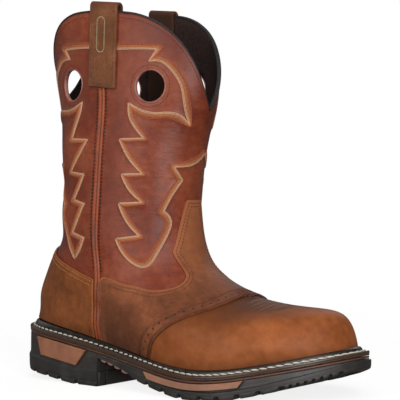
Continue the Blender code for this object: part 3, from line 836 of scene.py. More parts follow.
# Stitches: step from one to the next, length, width, height
COUNTER_TOP_STITCH = (2.6, 2.3, 0.75, 0.6)
COUNTER_SIDE_STITCH = (2.6, 2.3, 0.7, 0.55)
STITCH_REACH = 0.6
STITCH_SAG = 0.385
SLIDES = 4

# Rows of stitches: distances in from the edge
COUNTER_TOP_ROWS = (2.2, 5.4)
COUNTER_SIDE_ROWS = (2.4, 5.2)


def bead_scale(u):
    """Share of the bead's rows at which its top reaches its height, for each way round."""
    low, high = face(u, 0), face(u, BEAD_ROW)
    return spline(BEAD_HIGH, low[:, 0])[:, 0] / (high[:, 2] - low[:, 2])


def seam_round(row):
    """Way round at which the outer side seam crosses a row."""
    return spline(SEAM, row)[:, 0]


def seam_share(row, distance):
    """How much of the way round a distance across the seam is."""
    u = seam_round(row)
    return distance / (np.linalg.norm(face(u + 0.005, row) - face(u - 0.005, row), axis=1) / 0.01)


def counter_place(side, share):
    """Way round and row on the counter: side from -1 to 1 and share of the height."""
    row = np.full(len(side), FOOT_ROW)
    for _ in range(4):
        reach = seam_round(row) - seam_share(row, SEAM_HALF + SEAM_CLEAR)
        top = spline(COUNTER_TOP, np.abs(side) * reach)[:, 0]
        foot = FOOT_ROW * bead_scale(side * reach)
        row = foot + (top - foot) * share
    return side * reach, row


def counter_form(s, t):
    return skin(*counter_place(2 * s - 1, t), SKIN_CLEAR)


def edge_rub(distance):
    """A rubbed, paler rim where leather is cut, from distances to the edge in mm."""
    return 0.9 * hill(distance, 1.1)


def counter_tint(s, t):
    """Pale cut edges, with painted shade along the welt and up the back."""
    u, row = counter_place(2 * s - 1, t)
    away = np.minimum((1 - t) * COUNTER_TALL, from_back(s) * COUNTER_LONG)
    # Painted shade along the welt and toward the top of the back
    return edge_rub(away) - 0.45 * rising(row, FOOT_ROW + 0.8, FOOT_ROW) - 0.3 * np.cos(2 * math.pi * u) * t


def twist(name, colours):
    """Waxed sewing thread: fine twisted strands, paler on their crests."""
    return flecked(name, colours, (1800, 2, 0.5), (0.3, 0.7), 0.55, (0.12, 0.06), Specular_IOR_Level=0.3)


def on_line(line, length, at):
    """Points of a line, or its normals, at distances along it."""
    return np.column_stack([np.interp(at, length, axis) for axis in line.T])


def stitches(name, runs, size, look, slot, lean=0.0, sides=6):
    """A row of stitches along each run of points and normals: one short plump twist of thread for each."""
    pitch, long, wide, high = size
    place, ahead, up = [], [], []
    for points, normals in runs:
        length = lengths(points)
        count = max(1, int(round(length[-1] / pitch)))
        at = (np.arange(count) + 0.5) * length[-1] / count
        place.append(on_line(points, length, at))
        ahead.append(on_line(points, length, at + STITCH_REACH) - on_line(points, length, at - STITCH_REACH))
        up.append(on_line(normals, length, at))
    place, ahead, up = np.vstack(place), np.vstack(ahead), unit(np.vstack(up))
    ahead = unit(ahead - (ahead * up).sum(1)[:, None] * up)
    ahead = ahead * math.cos(lean) + np.cross(up, ahead) * math.sin(lean)
    shape = bmesh.new()
    bmesh.ops.create_uvsphere(shape, u_segments=sides, v_segments=sides - 2, radius=0.5)
    # Read back from a mesh, the corners keep their order in every copy
    single = bpy.data.meshes.new("stitch")
    shape.to_mesh(single)
    shape.clear()
    shape.from_mesh(single)
    bpy.data.meshes.remove(single)
    one = corners(shape)
    while len(shape.verts) < len(one) * len(place):
        bmesh.ops.duplicate(shape, geom=shape.verts[:] + shape.edges[:] + shape.faces[:])
    bmesh.ops.delete(shape, geom=shape.verts[:][len(one) * len(place):], context="VERTS")
    sag = one[:, 2] - STITCH_SAG * one[:, 2].max() * (2 * one[:, 0]) ** 2
    local = np.column_stack([one[:, 0] * long, one[:, 1] * wide, sag * high])
    turned = np.stack([ahead, np.cross(up, ahead), up], axis=1)
    move_to(shape, (place[:, None, :] + np.einsum("vk,nkc->nvc", local, turned)).reshape(-1, 3))
    return piece(name, shape, look, slot)


def sewn(u, row, off):
    """Points and normals of a line on the upper."""
    return skin(u, row, off), outward(u, row)


def inside_line(u, row, distance, side):
    """A line on the upper moved to its left (1) or right (-1) along the face by a distance."""
    for _ in range(SLIDES):
        along = np.gradient(face(u, row), axis=0)
        across = unit(np.cross(outward(u, row), along))
        u, row = slide(u, row, across * side * distance / SLIDES)
    return u, row


counter_leather = leather(
    "counter_leather", COUNTER_TANS, cloud=24, rough=0.52, coat=0.03, grain=0.24, gloss=0.14
)
counter_shape = sheet(COUNTER_GRID, counter_form, counter_tint)
counter = piece("counter_cup", counter_shape, counter_leather, "tan_leather", "counter")
thicken(counter, OVERLAY_THICK, OUTWARD, OVERLAY_EDGE)
rust_thread = twist("rust_thread", RUST_THREAD)
amber_thread = twist("amber_thread", AMBER_THREAD)
topline = counter_place(np.linspace(-0.985, 0.985, 500), np.ones(500))
counter_rows = [sewn(*inside_line(*topline, distance, -1), ON_OVERLAY) for distance in COUNTER_TOP_ROWS]
seam_rows = []
for side in (-1, 1):
    beside = counter_place(np.full(160, float(side)), np.linspace(0.02, 0.97, 160))
    for distance in COUNTER_SIDE_ROWS:
        seam_rows.append(sewn(*inside_line(*beside, distance, -side), ON_OVERLAY))
stitches("counter_top_stitching", counter_rows, COUNTER_TOP_STITCH, amber_thread, "tan_leather")
stitches("counter_side_stitching", seam_rows, COUNTER_SIDE_STITCH, rust_thread, "tan_leather")

# Saddle. Brown oiled leather over the instep, from one side seam across to the other, with a tongue that runs
# up the front of the shaft. A row of pinholes between two seams follows its lower edge over the vamp.
SADDLE_BROWNS = ((0.085, 0.028, 0.012), (0.172, 0.053, 0.021), (0.300, 0.100, 0.040))
SADDLE_GRID = (240, 78)
SADDLE_SIDE_TOP = 4.45
SADDLE_STITCH = (2.5, 2.2, 0.7, 0.55)
SADDLE_SIDE_STITCH = (2.6, 2.2, 0.7, 0.55)
SADDLE_TOP_ROWS = (2.4, 5.0)
SADDLE_LOW_ROWS = (2.0, 10.0)
SADDLE_SIDE_IN = 2.6
# The pinholes are dark dots set into the leather: their black is painted shade of the holes
PINHOLE_SHADE_BLACKS = ((0.010, 0.005, 0.003), (0.022, 0.010, 0.006))
PINHOLE_IN = 6.0
PINHOLE_SINK = 0.1
PINHOLE_SIZE = (6.8, 2.0, 2.0, 0.36)


def saddle_edges(at):
    """Lower and upper edge of the saddle's outer half, at places from 0 at the welt to 18 at the front.
    The tongue's top edge is cut straight across."""
    count = np.arange(len(SADDLE))
    low, high = [], []
    for low_u, low_row, high_u, high_row in SADDLE:
        beside = seam_round(high_row) + seam_share(np.array([high_row], float), SEAM_HALF + SEAM_CLEAR)
        low.append((low_u, low_row))
        high.append((high_u if high_u else beside[0], high_row))
    tip = len(SADDLE) - 2
    over = np.clip(at - tip, 0, 1)[:, None]
    low, high = np.array(low), np.array(high)
    top = weights(count[:-1], np.minimum(at, tip)) @ high[:-1]
    return weights(count, at) @ low, top + over * (high[-1] - high[-2])


def saddle_place(s, t):
    """Way round and row on the saddle: share along it from outer to inner side, share across it upward."""
    low, high = saddle_edges(from_back(s) * 2 * (len(SADDLE) - 1))
    u, row = (low + (high - low) * t[:, None]).T
    return np.where(s > 0.5, 1 - u, u), row


def saddle_form(s, t):
    return skin(*saddle_place(s, t), SKIN_CLEAR)


def saddle_tint(s, t):
    """A pale hem, cut edge and tongue. The waist and the seams over the vamp are dark, and painted shade lies
    on the foot by the welt.
    """
    u, row = saddle_place(s, t)
    x, _, z = face(u, row).T
    high, low = face(*saddle_place(s, np.ones(len(s)))), face(*saddle_place(s, np.zeros(len(s))))
    across = np.linalg.norm(high - low, axis=1)
    from_low, from_top = t * across, (1 - t) * across
    waist = 0.5 * hill(x - 128, 26) * hill(z - 50, 20)
    seams = 0.5 * hill(from_low - 1.2, 1.2) + 0.35 * hill(from_low - 10, 1.4)
    tongue = 0.85 * rising(z, 72, 114)
    # Painted shade at the foot, along the welt
    foot = 0.4 * rising(row, SEAM_FOOT_ROW + 0.7, SEAM_FOOT_ROW)
    hem = 0.45 * hill(from_top - 3.6, 3.0)
    return edge_rub(from_top) + hem - waist - seams + tongue - foot


def clear_line(line, distance):
    """A line moved inward from an edge, without the points that come nearer to it round a sharp corner."""
    u, row = inside_line(*line, distance, -1)
    away = np.linalg.norm(face(u, row)[:, None] - face(*line)[None], axis=2).min(1)
    clear = away > 0.94 * distance
    return u[clear], row[clear]


saddle_leather = leather(
    "saddle_leather", SADDLE_BROWNS, cloud=26, rough=0.56, coat=0.0, grain=0.28, nap=0.02, gloss=0.14
)
saddle_shape = sheet(SADDLE_GRID, saddle_form, saddle_tint)
saddle = piece("saddle_overlay", saddle_shape, saddle_leather, "tan_leather", "saddle")
thicken(saddle, OVERLAY_THICK, OUTWARD, OVERLAY_EDGE)
low_edge = saddle_place(np.linspace(0.004, 0.996, 900), np.zeros(900))
top_edge = saddle_place(np.linspace(0.105, 0.895, 900), np.ones(900))
saddle_rows = [sewn(*clear_line(top_edge, distance), ON_OVERLAY) for distance in SADDLE_TOP_ROWS]
saddle_rows += [sewn(*inside_line(*low_edge, distance, 1), ON_OVERLAY) for distance in SADDLE_LOW_ROWS]
stitches("saddle_stitching", saddle_rows, SADDLE_STITCH, rust_thread, "tan_leather")
side_rows = SEAM_FOOT_ROW + (SADDLE_SIDE_TOP - SEAM_FOOT_ROW) * np.linspace(0.03, 0.96, 200)
side_u = seam_round(side_rows) + seam_share(side_rows, SEAM_HALF + SEAM_CLEAR + SADDLE_SIDE_IN)
front_rows = [sewn(on_side(side_u, side), side_rows, ON_OVERLAY) for side in (-1, 1)]
stitches("saddle_side_stitching", front_rows, SADDLE_SIDE_STITCH, rust_thread, "tan_leather")
pinhole_run = sewn(*inside_line(*low_edge, PINHOLE_IN, 1), ON_OVERLAY - PINHOLE_SINK)
pinhole_shade = flecked("pinhole", PINHOLE_SHADE_BLACKS, (600,), (0.3, 0.7), 0.9)
stitches("pinholes", [pinhole_run], PINHOLE_SIZE, pinhole_shade, "tan_leather", sides=10)

# Side seams. A folded strip of orange leather is sewn up each side over the joint of the shaft's panels. It
# stands up as two round ribs with a groove between, and a row of dark thread runs on either side of it.
PIPING_ORANGES = ((0.125, 0.026, 0.009), (0.225, 0.043, 0.012), (0.300, 0.072, 0.026))
DARK_THREAD = ((0.022, 0.008, 0.006), (0.050, 0.019, 0.013))
SIDES = ((-1, "lateral"), (1, "medial"))
SEAM_GRID = (20, 240)
SEAM_THICK = 0.3
SEAM_TOP_ROW = 8.878
SEAM_SINK = 0.35
SEAM_GROOVE = 0.1
SEAM_STITCH = (2.7, 2.0, 1.45, 0.8)
SEAM_STITCH_LOW = 4.75
SEAM_STITCH_OFF = 0.12

# Rows of thread beside the strip: distance from its middle toward the front
SEAM_STITCH_ROWS = (4.0, -4.9)

# Ribs across the strip: middle and half-width as shares of the strip's half, height in mm
SEAM_RIBS = [(-0.46, 0.54, 1.55), (0.56, 0.44, 1.25)]


def faced_out(shape):
    """A mesh with its faces turned outward."""
    bmesh.ops.recalc_face_normals(shape, faces=shape.faces)
    return shape


def seam_form(side):
    def form(s, t):
        row = SEAM_FOOT_ROW + (SEAM_TOP_ROW - SEAM_FOOT_ROW) * t
        across = 2 * s - 1
        u = seam_round(row) + across * seam_share(row, SEAM_HALF)
        rise = np.full(len(s), SEAM_SINK)
        for middle, half, high in SEAM_RIBS:
            rib = high * np.sqrt(np.clip(1 - ((across - middle) / half) ** 2, 0, 1))
            rise = np.maximum(rise, SEAM_SINK + rib)
        return skin(on_side(u, side), row, rise)

    return form


def seam_tint(s, t):
    """Paler on the front rib, with painted shade in the groove and along the edges."""
    across = 2 * s - 1
    # Painted shade in the groove and at the edges under the ribs
    groove = 1.5 * hill(across - SEAM_GROOVE, 0.12)
    edges = 0.7 * np.clip(np.abs(across) * 6 - 5.2, 0, 1)
    return 0.3 + 0.25 * (across > SEAM_GROOVE) - groove - edges


piping = leather("piping_leather", PIPING_ORANGES, cloud=40, rough=0.44, coat=0.08, grain=0.2)
seam_threads = []
for side, name in SIDES:
    seam_shape = faced_out(sheet(SEAM_GRID, seam_form(side), seam_tint))
    strip = piece(f"seam_piping_{name}", seam_shape, piping, "piping", f"side_seam_{name}")
    thicken(strip, SEAM_THICK, INWARD)
    rows = np.linspace(SEAM_STITCH_LOW, SEAM_TOP_ROW, 300)
    for shift in SEAM_STITCH_ROWS:
        u = seam_round(rows) + seam_share(rows, shift)
        seam_threads.append(sewn(on_side(u, side), rows, SEAM_STITCH_OFF))
dark_thread = twist("dark_thread", DARK_THREAD)
stitches("seam_stitching", seam_threads, SEAM_STITCH, dark_thread, "piping")

# Flame stitching. Rows of thread side by side, from cream at the edge to copper within, sewn in a flame on
# the front and the back of each side of the shaft.
FLAME_PITCH = 3.0
FLAME_WIDE = 0.95
FLAME_HIGH = 0.42
CORD_STEP = 0.75
CORD_SIDES = 6
CORD_REACH = 0.5
CORD_TIP = 0.6 * FLAME_WIDE
NIP_HALF = 0.4
NIP_DEEP = 0.25
ON_SHAFT = 0.1
TURN_BACK = -0.3

# Threads: plain, pale, and how far their two rows lie inside the flame's edge
FLAME_ROWS = {
    "cream": ((0.390, 0.215, 0.122), (0.480, 0.285, 0.175), (0.0, 0.85)),
    "orange": ((0.340, 0.105, 0.036), (0.410, 0.145, 0.056), (1.7, 2.55)),
    "copper": ((0.225, 0.055, 0.021), (0.320, 0.086, 0.034), (3.4, 4.25)),
}


def on_shaft(u, row):
    """Points and normals of a line that lies on the shaft."""
    return sewn(u, row, shaft_relief(u, row) + ON_SHAFT)


def flat_on_shaft(path):
    """Points and normals of a line that is drawn flat on the shaft."""
    u = np.interp(path[:, 0], ROUND_MM, ROUND_WAY)
    return on_shaft(u, row_at_height(u, path[:, 1]))


def clear_runs(points, normals):
    """Cuts a run of points where it turns back sharply, so that no stitch lies across such a corner."""
    way = np.diff(points, axis=0)
    way /= np.maximum(np.linalg.norm(way, axis=1), 1e-9)[:, None]
    turns = np.flatnonzero((way[1:] * way[:-1]).sum(1) < TURN_BACK) + 1
    starts, ends = [0, *turns], [*turns, len(points) - 1]
    return [(points[a:b + 1], normals[a:b + 1]) for a, b in zip(starts, ends) if b > a]


def close_ends(shape):
    """Fills the open ends of a tube."""
    bmesh.ops.holes_fill(shape, edges=[e for e in shape.edges if e.is_boundary], sides=0)


def join(whole, one):
    """Adds a closed shape to a group of like shapes, its faces turned outward."""
    spare = bpy.data.meshes.new("spare")
    faced_out(one).to_mesh(spare)
    one.free()
    whole.from_mesh(spare)
    bpy.data.meshes.remove(spare)


def cord(points, normals):
    """Thread sewn close along a run of points and normals: a low round cord, nipped at every stitch."""
    length = lengths(points)
    count = max(5, int(length[-1] / CORD_STEP))
    shape = bmesh.new()
    bmesh.ops.create_grid(shape, x_segments=count, y_segments=CORD_SIDES, size=0.5)
    s, t = (corners(shape)[:, :2] + 0.5).T
    along = s * length[-1]
    ahead = on_line(points, length, along + CORD_REACH) - on_line(points, length, along - CORD_REACH)
    up = on_line(normals, length, along)
    across = unit(np.cross(up, ahead))
    nip = 1 - NIP_DEEP * hill((along + FLAME_PITCH / 2) % FLAME_PITCH - FLAME_PITCH / 2, NIP_HALF)
    end = np.clip(np.minimum(along, length[-1] - along) / CORD_TIP, 0, 1)
    size = (nip * np.sqrt(end * (2 - end)))[:, None]
    turn = 2 * math.pi * t[:, None]
    ring = FLAME_WIDE / 2 * np.cos(turn) * across + FLAME_HIGH * np.sin(turn) * up
    move_to(shape, on_line(points, length, along) + size * ring)
    bmesh.ops.remove_doubles(shape, verts=shape.verts, dist=MERGE)
    close_ends(shape)
    return shape


for name, (plain, pale, shifts) in FLAME_ROWS.items():
    flame_cords = bmesh.new()
    for shift in shifts:
        for flame, inside in flames():
            for run in clear_runs(*flat_on_shaft(drawn(shifted(flame, shift * inside)))):
                join(flame_cords, cord(*run))
    piece(f"flame_{name}", flame_cords, twist(f"{name}_thread", (plain, pale)), "red_leather")

# Pull-hole rims. A thin strip of pinkish leather is rolled through each hole, over the leather and the
# lining, and sewn down in a ring of rust thread.
RIM_PINKS = ((0.150, 0.050, 0.038), (0.270, 0.105, 0.080), (0.380, 0.170, 0.135))
RIM_GRID = (72, 14)
RIM_RADIUS = HOLE_RADIUS + 0.35
RIM_ROLL = 0.85
RIM_PROUD = 0.45
RING_RADIUS = HOLE_RADIUS + 3.6
RING_STITCH = (2.4, 2.0, 0.7, 0.5)
SHAFT_MIDDLE_X = 110


def hole_ring(middle, axis, turn, radius):
    """Way round and row of a ring on the shaft about a pull hole."""
    level = np.array([-axis[1], axis[0], 0])
    upright = np.array([0, 0, 1.0])
    start = middle + radius * (np.cos(turn)[:, None] * level + np.sin(turn)[:, None] * upright)
    guess = on_side(SIDE_ROUND + (middle[0] - SHAFT_MIDDLE_X) / SHAFT_GIRTH, middle[1])
    u = np.full(len(turn), guess)
    row = row_at_height(u, start[:, 2])
    for _ in range(12):
        gap = start - face(u, row)
        u, row = slide(u, row, gap - (gap @ axis)[:, None] * axis)
    return u, row


rims = bmesh.new()
ring_threads = []
for middle, axis in hole_axes():

    def rim_form(s, t):
        u, row = hole_ring(middle, axis, 2 * math.pi * s, RIM_RADIUS)
        at, out = sewn(u, row, shaft_relief(u, row) - WALL / 2)
        gap = middle - at
        into = unit(gap - (gap * out).sum(1)[:, None] * out)
        turn = 2 * math.pi * t[:, None]
        return at + RIM_ROLL * np.cos(turn) * into + (WALL / 2 + RIM_PROUD) * np.sin(turn) * out

    join(rims, sheet(RIM_GRID, rim_form))
    ring_threads.append(on_shaft(*hole_ring(middle, axis, np.linspace(0, 2 * math.pi, 200), RING_RADIUS)))
rim_leather = leather("rim_leather", RIM_PINKS, cloud=60, rough=0.42, coat=0.12, grain=0.2)
piece("pull_hole_rims", rims, rim_leather, "red_leather")
stitches("pull_hole_stitching", ring_threads, RING_STITCH, rust_thread, "red_leather")

# Collar binding. A narrow dark tape folded over the cut top of leather and lining and sewn through, with a
# row of rust thread below it.
BINDING_BLACKS = ((0.008, 0.007, 0.008), (0.030, 0.024, 0.025))
BINDING_GRID = (360, 16)
BINDING_DEEP = 0.9
BINDING_CLEAR = 0.2
BINDING_CROWN = 0.6
BINDING_THICK = 0.35
COLLAR_STITCH = (2.6, 2.1, 0.7, 0.5)
COLLAR_STITCH_DOWN = 4.6


def below_collar(u, deep):
    """The row a distance below the collar's edge."""
    return collar_row(u) - deep / np.linalg.norm(ways(u, collar_row(u))[1], axis=1)


def binding_form(s, t):
    """Up the outside in the first quarter of t, over the edge in a half turn, and down the inside."""
    bend = np.clip((t - 0.25) * 2, 0, 1) * math.pi
    leg = np.where(t < 0.25, 1 - 4 * t, np.where(t > 0.75, 4 * t - 3, 0))
    off = np.cos(bend) * (WALL / 2 + BINDING_CLEAR) - WALL / 2
    at = skin(s, below_collar(s, BINDING_DEEP * leg), off)
    return at + np.sin(bend)[:, None] * np.array([0, 0, BINDING_CROWN])


tape = flecked(
    "binding_tape", BINDING_BLACKS, (1400, 2), (0.3, 0.75), 0.65, (0.4, 0.2), Specular_IOR_Level=0.3
)
binding_shape = faced_out(sheet(BINDING_GRID, binding_form))
thicken(piece("collar_binding", binding_shape, tape, "red_leather"), BINDING_THICK, BOTH_WAYS)
ring_round = np.linspace(0.0005, 0.9995, 900)
collar_run = sewn(ring_round, below_collar(ring_round, COLLAR_STITCH_DOWN), ON_SHAFT)
stitches("collar_stitching", [collar_run], COLLAR_STITCH, rust_thread, "red_leather")

# Pull straps. Brown nubuck straps folded over the collar and sewn down inside and out, so that fingers can
# pull the boot on. The outer leg carries a plain oval of pale thread.
STRAP_BROWNS = ((0.075, 0.027, 0.010), (0.150, 0.050, 0.019), (0.255, 0.108, 0.044))
STRAP_GRID = (28, 150)
STRAP_THICK = 2.2
STRAP_EDGE = 0.5
STRAP_HALF = 12.8
STRAP_X = 109.0
STRAP_LOW = 226.0
STRAP_LOW_INSIDE = 214.0
STRAP_HIGH = 291.0
STRAP_GAP = 0.6
STRAP_SLANT = 0.13
STRAP_LEAN = 0.035
STRAP_STITCH = (2.6, 2.1, 0.7, 0.45)
STRAP_STITCH_IN = 2
STRAP_STITCH_UP = 3.0
STRAP_STITCH_OVER = 6
STRAP_STITCH_PROUD = 0.02
OVAL_THREAD = ((0.240, 0.185, 0.095), (0.33, 0.27, 0.15))
OVAL_STITCH = (1.3, 1.6, 1.1, 0.8)
OVAL_LEAN = 0.5
OVAL_PROUD = 0.05
OVAL_X = STRAP_X - 1.5
OVAL_HALF = 3.6
OVAL_LOW = 252.5
OVAL_HIGH = 279.0

# The strap's middle layer: its distances off the upper, the bend over the collar and the lengths of its parts
STRAP_OUTSIDE = STRAP_GAP + STRAP_THICK / 2
STRAP_INSIDE = -WALL - STRAP_GAP - STRAP_THICK / 2
STRAP_BEND = (STRAP_OUTSIDE - STRAP_INSIDE) / 2
STRAP_BEND_Z = STRAP_HIGH - STRAP_THICK / 2 - STRAP_BEND
STRAP_UP = STRAP_BEND_Z - STRAP_LOW
STRAP_OVER = math.pi * STRAP_BEND
STRAP_DOWN = STRAP_BEND_Z - STRAP_LOW_INSIDE
STRAP_WHOLE = STRAP_UP + STRAP_OVER + STRAP_DOWN


def strap_path(along):
    """Distance off the upper and height, at a distance along a strap from its outer end."""
    turn = np.clip((along - STRAP_UP) / STRAP_BEND, 0, math.pi)
    off = (STRAP_OUTSIDE + STRAP_INSIDE) / 2 + STRAP_BEND * np.cos(turn)
    leg = np.where(along < STRAP_UP, STRAP_LOW + along, STRAP_BEND_Z - (along - STRAP_UP - STRAP_OVER))
    bent = (turn > 0) & (turn < math.pi)
    return off, np.where(bent, STRAP_BEND_Z + STRAP_BEND * np.sin(turn), leg)


def strap_point(x, along, side, proud=0.0):
    """Points of a strap, which follows the upper's wall: x, distance along it, height off its middle."""
    off, z = strap_path(along)
    rows = row_at_height(np.full(len(z), SIDE_ROUND), np.minimum(z, STRAP_BEND_Z))
    tall = np.linspace(rows.min(), rows.max(), 24)
    wide = np.linspace(STRAP_X - STRAP_HALF - 1, STRAP_X + STRAP_HALF + 1, 15)
    walls = np.array([np.interp(x, wide, face(round_at_x(wide, row, side), row)[:, 1]) for row in tall])
    level = np.clip((rows - tall[0]) / max(tall[-1] - tall[0], 1e-9) * 23, 0, 22.999)
    below, each = level.astype(int), np.arange(len(x))
    wall = walls[below, each] + (walls[below + 1, each] - walls[below, each]) * (level - below)
    lean = STRAP_LEAN * (z - STRAP_LOW - STRAP_UP / 2)
    return np.column_stack([x + lean, wall + side * (off + proud), z + STRAP_SLANT * (STRAP_X - x)])


def strap_form(side):
    return lambda s, t: strap_point(STRAP_X + STRAP_HALF * (2 * s - 1), t * STRAP_WHOLE, side)


def strap_tint(s, t):
    """Pale along the edges and low on the outer leg, dark at its end, with painted shade inside the boot."""
    edges = 0.15 * hill(from_back(s) * 2 * STRAP_HALF, 1.6)
    low = 0.35 * rising(t, 0.25, 0)
    end = 0.2 * hill(t, 0.02)
    # Painted shade on the leg inside the boot
    inside = 0.9 * np.clip((t * STRAP_WHOLE - STRAP_UP) / STRAP_OVER, 0, 1)
    return edges + low - end - inside


def strap_run(x, along, side, proud):
    """Points and normals of a line on the outer leg of a strap."""
    points = strap_point(x, along, side, STRAP_THICK / 2 + proud)
    return points, np.tile([0.0, side, 0.0], (len(points), 1))


nubuck = leather("strap_nubuck", STRAP_BROWNS, cloud=50, rough=0.75, coat=0.0, grain=0.4, nap=0.05)
stitch_half = STRAP_HALF - STRAP_STITCH_IN
stitch_rise = np.linspace(STRAP_STITCH_UP, STRAP_UP + STRAP_STITCH_OVER, 120)
strap_lines = [(STRAP_X + np.linspace(-1, 1, 60) * stitch_half, np.full(60, STRAP_STITCH_UP))]
strap_lines += [(np.full(120, STRAP_X + reach * stitch_half), stitch_rise) for reach in (-1, 1)]
oval_turn = np.linspace(math.pi / 2, 5 * math.pi / 2, 200)
oval_straight = ((OVAL_HIGH - OVAL_LOW) / 2 - OVAL_HALF) * np.sign(np.sin(oval_turn))
oval_z = (OVAL_HIGH + OVAL_LOW) / 2 + OVAL_HALF * np.sin(oval_turn) + oval_straight
oval_x = OVAL_X + OVAL_HALF * np.cos(oval_turn)
strap_threads, ovals = [], []
for side, name in SIDES:
    strap_shape = faced_out(sheet(STRAP_GRID, strap_form(side), strap_tint))
    strap = piece(f"strap_{name}", strap_shape, nubuck, "strap_leather", f"pull_strap_{name}")
    thicken(strap, STRAP_THICK, BOTH_WAYS, STRAP_EDGE)
    strap_threads += [strap_run(x, along, side, STRAP_STITCH_PROUD) for x, along in strap_lines]
    ovals.append(strap_run(oval_x, oval_z - STRAP_LOW, side, OVAL_PROUD))
stitches("strap_stitching", strap_threads, STRAP_STITCH, rust_thread, "strap_leather")
stitches("strap_ovals", ovals, OVAL_STITCH, twist("oval_thread", OVAL_THREAD), "strap_leather", OVAL_LEAN)

# Welt. A black rubber strip sewn round the lasted upper. Its bead stands up against the leather and keeps
# water out, and its flat rim is sewn through to the midsole with heavy cream thread.
WELT_BLACKS = ((0.012, 0.008, 0.005), (0.036, 0.025, 0.016))
WELT_BROWN = (0.058, 0.031, 0.018)
WELT_ROUND = 420
WELT_THICK = 3.4
WELT_BEVEL = 0.6
WELT_STITCH_IN = 3.6
WELT_STITCH_UP = 0.4
WELT_STITCH_LEAN = -0.2
WELT_STITCH = (5.9, 7.8, 1.4, 1.35)
HEAVY_THREAD = ((0.42, 0.38, 0.31), (0.60, 0.56, 0.48))
LEDGE_INSET = 13.2
LEDGE_DROP = 0.9
BEAD_CLEAR = 0.5

# Rim, from its lower edge over its trimmed side to the far side of the stitches' groove: inset, rise
RIM_STEPS = [
    (0, -WELT_THICK), (0.15, -2.4), (0.15, -2.0), (-0.1, -1.6), (0, -WELT_BEVEL), (0.2, -0.2),
    (WELT_BEVEL, 0), (WELT_STITCH_IN - 1.3, 0), (WELT_STITCH_IN - 0.7, -0.35),
    (WELT_STITCH_IN + 0.7, -0.35), (WELT_STITCH_IN + 1.3, 0),
]

# Bead against the upper: row of the loft, distance off the upper, rise over the welt if any
BEAD_STEPS = [
    (0.05, 3.3, 0.10), (0.07, 2.9, 0.55), (0.14, 2.75, None), (0.22, 2.45, None), (0.29, 1.95, None),
    (0.345, 1.35, None), (BEAD_ROW, BEAD_CLEAR, None), (0.05, BEAD_CLEAR, -LEDGE_DROP),
]

# Ledge inside the upper, and the underside back to the lower edge: inset, rise
LEDGE_STEPS = [(LEDGE_INSET, -LEDGE_DROP), (LEDGE_INSET, -WELT_THICK), (0, -WELT_THICK)]


def welt_line(u, inset, rise):
    """A line round the welt: how far inside its edge, how high over its top."""
    at = edge(u, inset)
    return np.column_stack([at, welt_top(at[:, 0]) + rise])


def bead_line(u, row, off, rise):
    """A line round the bead, at a share of its rows and a distance off the upper."""
    at = skin(u, row * bead_scale(u), off)
    if rise is not None:
        at[:, 2] = welt_top(at[:, 0]) + rise
    return at


WELT_LINES = [(welt_line, step) for step in RIM_STEPS]
WELT_LINES += [(bead_line, step) for step in BEAD_STEPS]
WELT_LINES += [(welt_line, step) for step in LEDGE_STEPS]
WELT_LEVELS = len(WELT_LINES) - 1


def welt_form(s, t):
    made = np.empty((len(s), 3))
    level = np.rint(t * WELT_LEVELS).astype(int)
    for k, (line, step) in enumerate(WELT_LINES):
        made[level == k] = line(s[level == k], *step)
    return made


def welt_tint(s, t):
    """Trimmed side of the rim, browner than its moulded top."""
    return rising(t * WELT_LEVELS, 5.5, 4)


welt_rubber, welt_shader, welt_at = finish("welt_rubber", 0.34, Specular_IOR_Level=0.5)
scuff = welt_at.noise(180, 4, 0.6)
black = scuff.between(0.4, 0.85).mixed(*WELT_BLACKS)
trimmed = (welt_at.wear_and_shading_marks() * (0.5 + scuff)).between(0.0, 1.1)
trimmed.mixed(black, WELT_BROWN).into(welt_shader, "Base Color")
(0.2 + scuff * 0.22).into(welt_shader, "Roughness")
(scuff + welt_at.noise(1500, 2)).bump(0.2, 0.2).into(welt_shader, "Normal")
welt_shape = faced_out(sheet((WELT_ROUND, WELT_LEVELS), welt_form, welt_tint))
piece("welt_strip", welt_shape, welt_rubber, "black_welt", "welt")
welt_points = welt_line(np.linspace(0, 1, 1600), WELT_STITCH_IN, WELT_STITCH_UP)
welt_run = (welt_points, np.tile([0, 0, 1.0], (len(welt_points), 1)))
heavy_thread = twist("heavy_cream_thread", HEAVY_THREAD)
stitches("welt_stitching", [welt_run], WELT_STITCH, heavy_thread, "black_welt", WELT_STITCH_LEAN, sides=8)

# Midsole. A dark red-brown rubber sheet cemented between welt and outsole, and trimmed flush with the welt's
# edge, so that only its cut side shows.
MIDSOLE_BROWNS = ((0.066, 0.029, 0.019), (0.125, 0.052, 0.033))
MIDSOLE_GRID = (240, 20)
MIDSOLE_THICK = 1.4
MIDSOLE_INSET = 0.4


def midsole_top(x):
    return welt_top(x) - WELT_THICK - HAIR


midsole_rubber = flecked(
    "midsole_rubber", MIDSOLE_BROWNS, (90, 4, 0.6, (1, 1, 9)), (0.3, 0.75), 0.5, (0.3, 0.2)
)
midsole_shape = plate(MIDSOLE_GRID, MIDSOLE_INSET, midsole_top)
midsole = piece("midsole_sheet", midsole_shape, midsole_rubber, "brown_midsole", "midsole")
thicken(midsole, MIDSOLE_THICK, INWARD)

# Outsole. Black rubber moulded in one piece with its heel: a thin waist, a block heel with a level breast,
# and a forefoot that springs up at the toe. Its side steps out above the lugs.
SOLE_BLACKS = ((0.021, 0.018, 0.016), (0.058, 0.046, 0.040))
SOLE_STATIONS = (64, 130)
SOLE_ACROSS = 12
SOLE_SHARP = math.radians(40)
BREAST_X = 103.0
BREAST_STEP = 0.4

